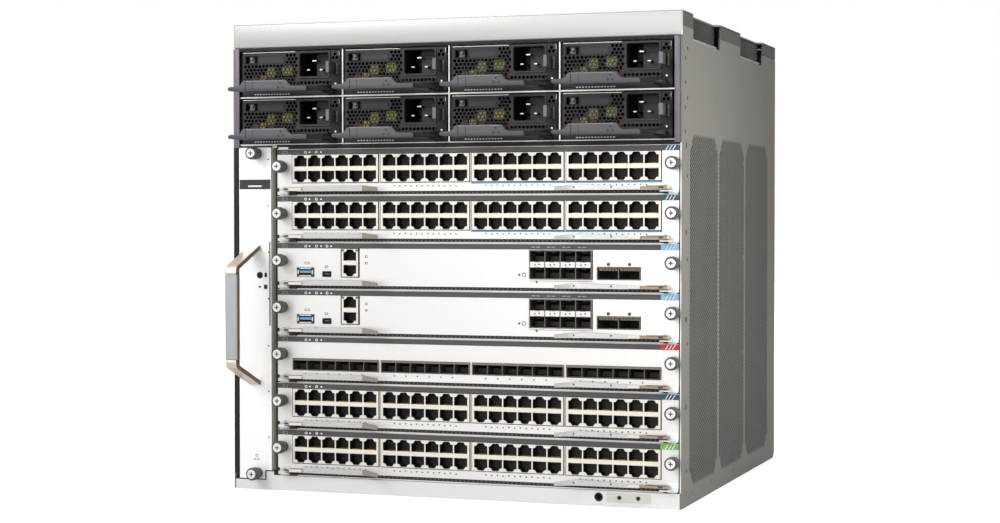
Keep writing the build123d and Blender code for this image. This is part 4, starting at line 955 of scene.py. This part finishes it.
def cardPiece(slot):
    c = card
    bm = bmesh.new()
    b = slotBase(slot)
    port = b + c["portBase"]
    left, right = c["left"], c["right"]
    groups = [left + c["groupLeft"] + i * c["groupStep"] for i in range(4)]
    # face plate with its windows, header band, gasket, tray
    if slot in copper:
        windows = [rectangle(g, g + c["groupWidth"], port - 0.6, port + 26.85, 0.4) for g in groups]
    elif slot in cages:
        windows = [rectangle(g + 0.4, g + 89.1, port - 0.5, port + 11.1) for g in groups]
    else:
        windows = [rectangle(left + 19.8, left + 38.2, port - 0.4, port + 8.6, 0.6),
                   rectangle(left + 46.2, left + 55.5, port - 0.4, port + 5.2, 0.4),
                   rectangle(left + 65.0, left + 84.5, port - 0.7, port + 27.4, 0.8),
                   rectangle(left + 251.1, left + 311.1, port - 0.5, port + 26.1),
                   rectangle(left + 315.1, left + 356.1, port - 0.5, port + 11.5)]
    addSheet(bm, [rectangle(left, right, b + c["faceLow"], b + c["headerLow"])] + windows, "y", front, front + 1.6, 0)
    addPrism(bm, rectangle(left, right, b + c["headerLow"], b + c["headerHigh"]), "y", front - 0.8, front + 2.0, 1,
             0.3, 1)
    addBox(bm, (left, right), (front - 0.7, front + 2.0), (b + c["headerHigh"], b + c["top"]), 0, 0.2, 1)
    # gasket strip with its row of small notches, and the tray's bright edge under it
    addBox(bm, (left + 2, right - 2), (front + 0.8, front + 2.0), (b + 1.1, b + c["faceLow"] + 0.2), 3)
    for i in range(84):
        x = left + 24 + i * 4.2
        addBox(bm, (x, x + 1.5), (front + 0.5, front + 0.9), (b + 1.9, b + 3.1), 8)
    addBox(bm, (left + 2, right - 2), (front + 0.2, front + 1.6), (b + 0.1, b + 1.1), 0, 0.2, 1)
    # tag with slanted bars at the right end of the band, and small marks at its left
    tagSlot = len(cardMaterials)
    y = front - 0.8
    addBox(bm, (right - 16.4, right - 0.2), (y - 0.15, y + 0.1), (b + 38.9, b + 43.8), tagSlot)
    for i in range(3):
        x = right - 11.0 + i * 3.1
        addPrism(bm, [(x - 1.5, b + 39.1), (x - 0.6, b + 39.1), (x + 2.2, b + 43.6), (x + 1.3, b + 43.6)], "y",
                 y - 0.3, y - 0.1, 7)
    spots = (29.6, 33.6, 40.6, 45.4) if slot not in supervisor else (29.6, 33.6, 40.6, 45.4, 51.5, 55.8)
    for i, x in enumerate(spots):
        if i % 2:
            dot(bm, left + x, b + 41.0, 0.8, 7, y)
        else:
            printed(bm, [ring(left + x, b + 41.0, 1.3, 14), ring(left + x, b + 41.0, 0.75, 14)], 7, y)
    printed(bm, [rectangle(left + 5.6, left + 10.6, b + 39.7, b + 42.4, 0.4),
                 rectangle(left + 6.0, left + 10.2, b + 40.1, b + 42.0, 0.3)], 16, y)
    if slot in supervisor:
        for i in range(4):
            for k in (0, 1):
                x = left + 254.0 + i * 14.5 + k * 4.4
                dash(bm, x, x + 3.4, b + 40.6, b + 41.5, 16, y)
    # connectors
    if slot in copper:
        for i, g in enumerate(groups):
            stamp(bm, groupProto, (g, 0, port))
            middle = g + c["groupWidth"] / 2
            for m in range(12):
                shape = marks[(m + 1) % 2]
                stamp(bm, shape, (middle + (m - 5.5) * 5.57, front, port - 3.5))
            if i > 1 and slot in (1, 2):
                dash(bm, g - 0.4, g + c["groupWidth"] + 0.4, port - 1.8, port - 0.7, 12)
    elif slot in cages:
        for g in groups:
            stamp(bm, opticRow, (g + 0.75, 0, port))
            for m in range(6):
                stamp(bm, marks[1], (g + 14 + m * 11.6, front, port - 3.5))
    else:
        stamp(bm, supervisorProto, (left, 0, port))
        stamp(bm, pairProto, (left + 65.6, 0, port))
        stamp(bm, opticStack, (left + 251.6, 0, port))
        for x in (67.6, 82.0):
            addBox(bm, (left + x - 1.4, left + x + 1.4), (front - 1.25, front - 0.9), (port + 23.8, port + 25.8), 5)
        dot(bm, left + 241.8, port + 3.4, 1.1, 6)
        printed(bm, [ring(left + 246.2, port + 3.4, 2.1, 18), ring(left + 246.2, port + 3.4, 1.5, 18)], 6)
        for x in (326.0, 345.6):
            dot(bm, left + x, port + 13.6, 1.6, 6)
        # lip under the optical cages, a dark seam at their right and small outlines over the sockets
        addBox(bm, (left + 251.0, left + 311.2), (front - 0.6, front + 0.2), (port - 1.7, port - 0.6), 7, 0.2, 1)
        dash(bm, left + 251.0, left + 311.2, port - 2.2, port - 1.8, 16)
        dash(bm, left + 310.4, left + 311.6, port - 0.5, port + 26.1, 3)
        for x, w, z in ((28.0, 5.0, 11.6), (49.0, 3.2, 8.2), (90.0, 2.4, 18.0), (90.0, 2.4, 12.0)):
            printed(bm, [rectangle(left + x, left + x + w, port + z, port + z + 2.2, 0.5),
                         rectangle(left + x + 0.5, left + x + w - 0.5, port + z + 0.5, port + z + 1.7, 0.3)], 6)
        dot(bm, left + 258.5, port - 3.0, 1.0, 6)
    # ears that carry the lever pins, the shadowed clefts beside them and pale tabs at the ends
    for x in (left + c["leverInset"][0], right - c["leverInset"][1]):
        addBox(bm, (x - 5, x + 5), (front - 8.6, front + 0.5), (b + 2.3, b + 3.5), 0, 0.3, 1)
    addBox(bm, (left + 0.3, left + 11.5), (front - 0.6, front + 1), (b + 1.1, b + 4.1), 0, 0.2, 1)
    dash(bm, left, left + 1.9, b + 4.1, b + 7.4, 3)
    addPrism(bm, [(left + 12.6, b + 0.6), (left + 20.1, b + 0.6), (left + 20.1, b + 4.3), (left + 13.6, b + 4.3)], "y",
             front - 2.0, front + 0.9, 3, 0.2, 1)
    addPrism(bm, [(right - 13.8, b + 0.6), (right - 9.8, b + 0.6), (right - 9.8, b + 4.0), (right - 12.8, b + 4.0)], "y",
             front - 2.0, front + 0.9, 3, 0.2, 1)
    addBox(bm, (right - 10.0, right - 0.4), (front - 0.7, front + 0.3), (b + 1.2, b + 9.2), 13, 0.2, 1)
    if slot == 1:
        addBox(bm, (left + 1.4, left + 11.6), (front - 0.9, front + 1), (b + 43.6, b + 46.1), 0, 0.2, 1)
    # tray, board and what stands on it
    addBox(bm, (left + 3, right - 3), (front + 1.6, front + c["depth"]), (b + 2.2, b + 3.4), 9)
    boardSlot = tagSlot + 1
    addBox(bm, (left + 6, right - 6), (front + 2, front + c["depth"] - 6), (port - 1.6, port), boardSlot)
    addBox(bm, (-45, 45), (front + c["depth"] - 14, front + c["depth"]), (port, port + 14), boardSlot + 1, 0.6, 1)
    for x, y, w, d, h in ((-110, -120, 34, 34, 4), (-20, -110, 42, 42, 4), (90, -120, 34, 34, 4), (-120, -30, 26, 40, 3),
                          (120, -20, 30, 30, 3), (-60, 50, 24, 24, 3), (70, 60, 40, 26, 3)):
        addBox(bm, (x - w / 2, x + w / 2), (y - d / 2, y + d / 2), (port, port + h), boardSlot + 1, 0.3, 1)
    for i in range(11):
        x = -64 + i * 8
        addBox(bm, (x, x + 1.6), (-140, -80), (port + 4, port + 22), boardSlot + 2)
    addBox(bm, (-66, 20), (-140, -80), (port + 3.6, port + 6), boardSlot + 2)
    materials = cardMaterials + [tags[slot], boardGreen, chipBlack, sinkMetal]
    return finishPiece("card%d" % slot, bm, materials, "card_%d_body" % slot, ["card_%d" % slot])


for slot in range(1, 8):
    cardPiece(slot)
print("cards made")

# ---- captive screws: knurled head, cross recess, neck ----
captiveScrew = {"head": 6.0, "length": 10.0, "neck": 3.4, "proud": 15.0, "teeth": 36, "lift": 27.6,
                "leftInset": 5.7, "rightInset": 4.0, "trayShift": 3.1}


def screwMesh(first):
    v = captiveScrew
    bm = bmesh.new()
    tip = -v["proud"]
    teeth = v["teeth"]
    # knurled barrel from a toothed outline
    outline = []
    for i in range(teeth * 2):
        a = math.pi * i / teeth
        r = v["head"] - (0.0 if i % 2 else 0.35)
        outline.append((r * math.cos(a), r * math.sin(a)))
    addPrism(bm, outline, "y", tip + 1.2, tip + v["length"] - 0.8, first)
    h = v["head"]
    addTurned(bm, [(0, tip + 0.6), (2.2, tip + 0.6), (2.7, tip), (3.9, tip), (4.3, tip + 0.4), (4.4, tip + 1.6),
                   (0, tip + 1.6)], (0, 0), 28, first + 1)
    addTurned(bm, [(0, tip + 1.1), (4.2, tip + 1.1), (4.3, tip + 0.5), (5.7, tip + 1.4), (0, tip + 1.5)], (0, 0), 28,
              first)
    addTurned(bm, [(0, tip + v["length"] - 0.9), (h - 0.4, tip + v["length"] - 0.9), (h - 0.9, tip + v["length"]),
                   (v["neck"], tip + v["length"] + 0.2), (v["neck"], 0.2), (0, 0.2)], (0, 0), 20, first)
    addTurned(bm, [(v["neck"], -2.2), (4.6, -2.2), (5.0, -1.6), (5.0, 0.2), (v["neck"], 0.2)], (0, 0), 20, first)
    addBox(bm, (-2.0, 2.0), (tip + 0.45, tip + 0.65), (-0.5, 0.5), first + 2)
    addBox(bm, (-0.5, 0.5), (tip + 0.45, tip + 0.65), (-2.0, 2.0), first + 2)
    return asMesh(bm, "screwMesh")


screwProto = screwMesh(0)
screwMaterials = [knurlSteel, brightSteelAndHighlight, darkInk]
for slot in range(1, 8):
    bm = bmesh.new()
    for x in (card["left"] + captiveScrew["leftInset"], card["right"] - captiveScrew["rightInset"]):
        stamp(bm, screwProto, (x, front, slotBase(slot) + captiveScrew["lift"]))
    finishPiece("cardScrews%d" % slot, bm, screwMaterials, "card_%d_body" % slot)

# ---- ejector levers of the cards ----
cardLever = {"lift": 4.0, "height": 5.4, "length": 100.0, "hub": 4.0, "standoff": 4.6, "thick": 1.8, "bend": 22.0,
             "flare": 9.0, "drop": 1.8, "camLow": 0.7, "camHigh": 3.2}
# along each lever from its pin: where the blade starts, where the pale cam plate lies
leverEnds = {"left": (1, 19.8, (6.4, 19.6)), "right": (-1, 33.8, (22.8, 33.6))}


def cardLeverMesh(side):
    v = cardLever
    reach, start, plate = leverEnds[side]
    bm = bmesh.new()
    near = v["hub"] * 0.6
    bend = v["length"] - v["bend"]
    t = v["thick"]
    # blade: straight, then flared towards the hand while its upper edge sinks in an S
    steps = 8
    flare = [(bend + v["bend"] * i / steps, -near - v["flare"] * (i / steps) ** 1.6) for i in range(steps + 1)]
    outer = [(start, -near)] + flare
    innerLine = [(u - 0.3, w + t) for u, w in reversed(flare)] + [(start, -near + t)]
    addPrism(bm, [(reach * u, w) for u, w in outer + innerLine], "z", 0, v["height"], 0, 0.25, 1)
    for vert in bm.verts:
        along = min(1.0, max(0.0, (abs(vert.co.x) - bend) / v["bend"]))
        vert.co.z *= 1 - v["drop"] / v["height"] * along * along * (3 - 2 * along)
        if side == "right":
            # the right lever also sinks to its pin
            along = min(1.0, max(0.0, (47 - abs(vert.co.x)) / 6))
            vert.co.z *= 1 - 0.35 * along
    # on the left lever the flared end is painted darker, as the shade where it turns away from the light
    for face in bm.faces:
        if abs(face.calc_center_median().x) > bend + 3 and side == "left":
            face.material_index = 3
    # cam end: a dark pin, stacked plates with a hook, the pale one framed by a dark line
    cam = [(-v["hub"], -0.8), (-2.4, -3.6), (1.0, -v["hub"]), (start, -near - 0.1), (start, -near + t + 0.4),
           (10, 1.6), (4, 3.2), (0.5, v["hub"]), (-3.0, 2.8)]
    addPrism(bm, [(reach * u, w) for u, w in cam], "z", v["camLow"], v["camHigh"],
             0 if side == "left" else 4, 0.2, 1)
    a, b = sorted(reach * u for u in plate)
    addBox(bm, (a, b), (-v["hub"] - 0.35, -near + 0.4), (v["camLow"] - 0.2, v["camHigh"] + 0.1), 1, 0.2, 1)
    a, b = sorted(reach * u for u in ((6.4, plate[1]) if side == "left" else (-2.0, 17.0)))
    addBox(bm, (a, b), (-v["hub"] - 0.2, -near + 0.4), (v["camHigh"] + 0.1, v["camHigh"] + 0.5), 5)
    pin = turnedMesh([(0, -0.7), (1.5, -0.7), (2.0, -0.3), (2.0, 0.2), (0, 0.2)], 16)
    stamp(bm, pin, (0, 0, v["camHigh"] + 0.7), Matrix.Rotation(math.radians(-90), 4, "X"))
    addBox(bm, sorted((reach * 1.2, reach * 5.8)), (-v["hub"] - 0.5, -1.0), (1.3, 2.9), 2, 0.3, 1)
    if side == "right":
        for u, proud in ((49.5, 0.15), (84.0, 1.3)):
            addPrism(bm, ring(-u, 2.6, 0.9, 12), "y", -near - proud, -near + 0.1, 2)
    return asMesh(bm, "cardLeverMesh")


leverMeshes = {side: cardLeverMesh(side) for side in leverEnds}
leverMaterials = [bladeSteel, camBronze, darkInk, bladeShade, camShade, oliveEdgeAndShade]
pivots = {"left": card["left"] + card["leverInset"][0], "right": card["right"] - card["leverInset"][1]}
for slot in range(1, 8):
    for side in ("left", "right"):
        bm = bmesh.new()
        stamp(bm, leverMeshes[side], (pivots[side], front - cardLever["standoff"], slotBase(slot) + cardLever["lift"]))
        bmesh.ops.recalc_face_normals(bm, faces=bm.faces)
        finishPiece("cardLever%s%d" % (side.capitalize(), slot), bm, leverMaterials,
                    "card_%d_lever_%s_body" % (slot, side), ["card_%d_lever_%s" % (slot, side)])
print("card levers and screws made")

# ---- fan tray, handle and button ----
fanTray = {
    "left": -213.995, "right": -180.395, "low": 10.0, "top": 325.3, "notch": (6.0, 8.2), "frameLeft": -212.395,
    "frameRight": -187.395, "fansFront": -201.0, "fanPitch": 124.0, "bore": 57.0, "screwX": -197.995,
    "handleLow": 104.0, "handleHigh": 228.0, "grip": (126.0, 206.0), "reach": 50.0, "width": 12.0,
    "buttonX": -192.395, "buttonZ": 204.0,
}
f = fanTray
bm = bmesh.new()
outline = [(f["left"], f["low"]), (f["right"] - f["notch"][0], f["low"]),
           (f["right"] - f["notch"][0], f["low"] + f["notch"][1]), (f["right"], f["low"] + f["notch"][1]),
           (f["right"], f["top"]), (f["left"], f["top"])]
addSheet(bm, [outline, ring(f["buttonX"], f["buttonZ"], 2.9, 20)], "y", front, front + 2, 0)
# a slit in the panel, drawn as a black strip of painted shade
addBox(bm, (-182.7, -181.1), (front - 0.08, front + 0.4), (156, 236), 3, 0.3, 1)
# side flange of the panel, folded back, and the fan frame behind it
addBox(bm, (f["left"], f["left"] + 1.2), (front + 0.6, front + 22), (f["low"] + 1, f["top"] - 1), 0, 0.3, 1)
addBox(bm, (f["right"] - 1.2, f["right"]), (front + 0.6, front + 7), (f["low"] + 12, f["top"] - 1), 0, 0.3, 1)
# bare label band, button ring, lamps and the row of dimples
addBox(bm, (f["left"] + 0.6, f["right"] - 0.6), (front - 0.15, front + 0.1), (285.8, 295.0), 1)
addBox(bm, (-204.5, -190.5), (front - 0.22, front - 0.1), (288.0, 289.4), 2)
addSheet(bm, [ring(f["buttonX"], f["buttonZ"], 3.2, 24), ring(f["buttonX"], f["buttonZ"], 2.85, 24)], "y",
         front - 0.15, front + 0.1, 1)
addPrism(bm, rectangle(-187.6, -184.8, 202.2, 206.4, 0.8), "y", front - 0.14, front + 0.1, 1)
# faint printed marks above the lower screw
printed(bm, [ring(-196.0, 32.0, 1.5, 12), ring(-196.0, 32.0, 0.9, 12)], 8)
for a, b in ((-199.2, -196.6), (-195.6, -193.0)):
    dash(bm, a, b, 27.8, 29.0, 8)
dot(bm, f["buttonX"], 193, 1.2, 1)
addPrism(bm, rectangle(-188.2, -184.4, 190.9, 195.1, 0.6), "y", front - 0.14, front + 0.1, 1)
for z in (314, 270, 226, 181.7, 137, 93.5, 49.7):
    dot(bm, -183.3, z, 0.8, 1, count=10)
# frame with round bores
loops = [rectangle(front + 1.8, f["fansFront"] + 3 * f["fanPitch"], f["low"] + 4, f["top"] - 4)]
middle = (f["low"] + f["top"]) / 2
fanCentres = [(f["fansFront"] + (i + 0.5) * f["fanPitch"], middle + k * 75) for k in (-1, 1) for i in range(3)]
for y, z in fanCentres:
    loops.append(ring(y, z, f["bore"], 48))
addSheet(bm, loops, "x", f["frameLeft"], f["frameRight"], 4)
for i in range(3):
    y = f["fansFront"] + (i + 0.5) * f["fanPitch"]
    addBox(bm, (f["frameRight"], f["frameRight"] + 3), (y - 5, y + 5), (f["low"] + 4, f["top"] - 4), 4, 0.6)
trayScrew = screwMesh(5)
for z in (f["top"] - 6, f["low"] + 5):
    stamp(bm, trayScrew, (f["screwX"] + captiveScrew["trayShift"], front, z + 0.5))
finishPiece("fanTray", bm, [traySheet, coreGrey, whiteInk, deepBlack, zincAndHighlight] + screwMaterials + [dashGrey],
            "fan_tray_body", ["fan_tray"])

# handle: grey rubber grip between champagne arms that slant back to the panel
bm = bmesh.new()
x0, x1 = f["screwX"] - f["width"] / 2, f["screwX"] + f["width"] / 2
out = front - f["reach"]
g0, g1 = f["grip"]
addBox(bm, (x0 - 0.2, x1 + 0.2), (out - 0.2, out + 7.2), (g0, g1), 0, 1.6, 3)
for k, grip, foot in ((1, g1, f["handleHigh"]), (-1, g0, f["handleLow"])):
    arm = [(out, grip), (out, grip + k * 2.5), (out + 1.0, grip + k * 5.2), (out + 3.0, grip + k * 7.8),
           (front, foot + k * 4.6), (front, foot + k * 0.4), (out + 6.6, grip + k * 5.0), (out + 5.0, grip + k * 2.6),
           (out + 4.6, grip - k * 0.6)]
    addPrism(bm, arm, "x", x0, x1 - 0.5, 1, 0.8, 3)
    # the arms' right sides are painted dark olive as shade
    addPrism(bm, arm, "x", x1 - 0.7, x1, 2, 0.25, 1)
# the grip's right edge, painted dark olive as shade
addBox(bm, (x1 + 0.1, x1 + 0.35), (out + 1.4, out + 6.0), (g0 + 0.8, g1 - 0.8), 2)
finishPiece("fanHandle", bm, [gripRubber, armTan, oliveEdgeAndShade], "fan_tray_body", ["fan_handle"])

bm = bmesh.new()
addTurned(bm, [(0, front - 1.0), (1.6, front - 1.2), (2.3, front - 1.0), (2.6, front - 0.6), (2.6, front + 4),
               (0, front + 4)], (f["buttonX"], f["buttonZ"]), 24)
finishPiece("beaconButton", bm, [deepBlack], "beacon_button_body", ["beacon_button"])

# ---- rotors: round hub and five twisted blades ----
rotor = {"hub": 21.0, "tip": 54.0, "depth": 19.0, "blades": 5}


def rotorMesh():
    v = rotor
    bm = bmesh.new()
    half = v["depth"] / 2
    addTurned(bm, [(0, -half), (v["hub"] - 2, -half), (v["hub"], -half + 2), (v["hub"], half), (0, half)], (0, 0), 40)
    blade = bmesh.new()
    bmesh.ops.create_grid(blade, x_segments=4, y_segments=6, size=0.5)
    for vert in blade.verts:
        along = vert.co.x + 0.5
        span = vert.co.y + 0.5
        r = v["hub"] - 1 + span * (v["tip"] - v["hub"] + 1)
        pitch = math.radians(52 - 22 * span)
        chord = 22 + 14 * span
        s = (along - 0.5) * chord
        sweep = span * 0.35
        a = s * math.cos(pitch) / r + sweep
        y = s * math.sin(pitch) * 0.8
        vert.co = (r * math.sin(a), max(-half + 1, min(half - 1, y)), r * math.cos(a))
    bmesh.ops.solidify(blade, geom=blade.faces[:], thickness=1.6)
    bmesh.ops.recalc_face_normals(blade, faces=blade.faces)
    bladeShape = asMesh(blade, "blade")
    for i in range(v["blades"]):
        stamp(bm, bladeShape, turn=Matrix.Rotation(2 * math.pi * i / v["blades"], 4, "Y"))
    return asMesh(bm, "rotorMesh")


rotorProto = rotorMesh()
for number, (y, z) in enumerate(fanCentres, start=1):
    bm = bmesh.new()
    x = f["frameRight"] - 0.3 - rotor["depth"] / 2
    stamp(bm, rotorProto, (x, y, z), Matrix.Rotation(math.radians(90), 4, "Z"))
    finishPiece("fanRotor%d" % number, bm, [deepBlack], "fan_rotor_%d_body" % number,
                ["fan_rotor_%d" % number])
print("fan tray made")

# ---- carried-over nodes get their real finish ----
for node, material in (("bottom_pan", powderGrey), ("card_cage", zincAndHighlight), ("card_guides", chipBlack),
                       ("backplane", boardGreen), ("power_backplane", boardGreen)):
    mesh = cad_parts[node].data
    mesh.materials.clear()
    mesh.materials.append(material)
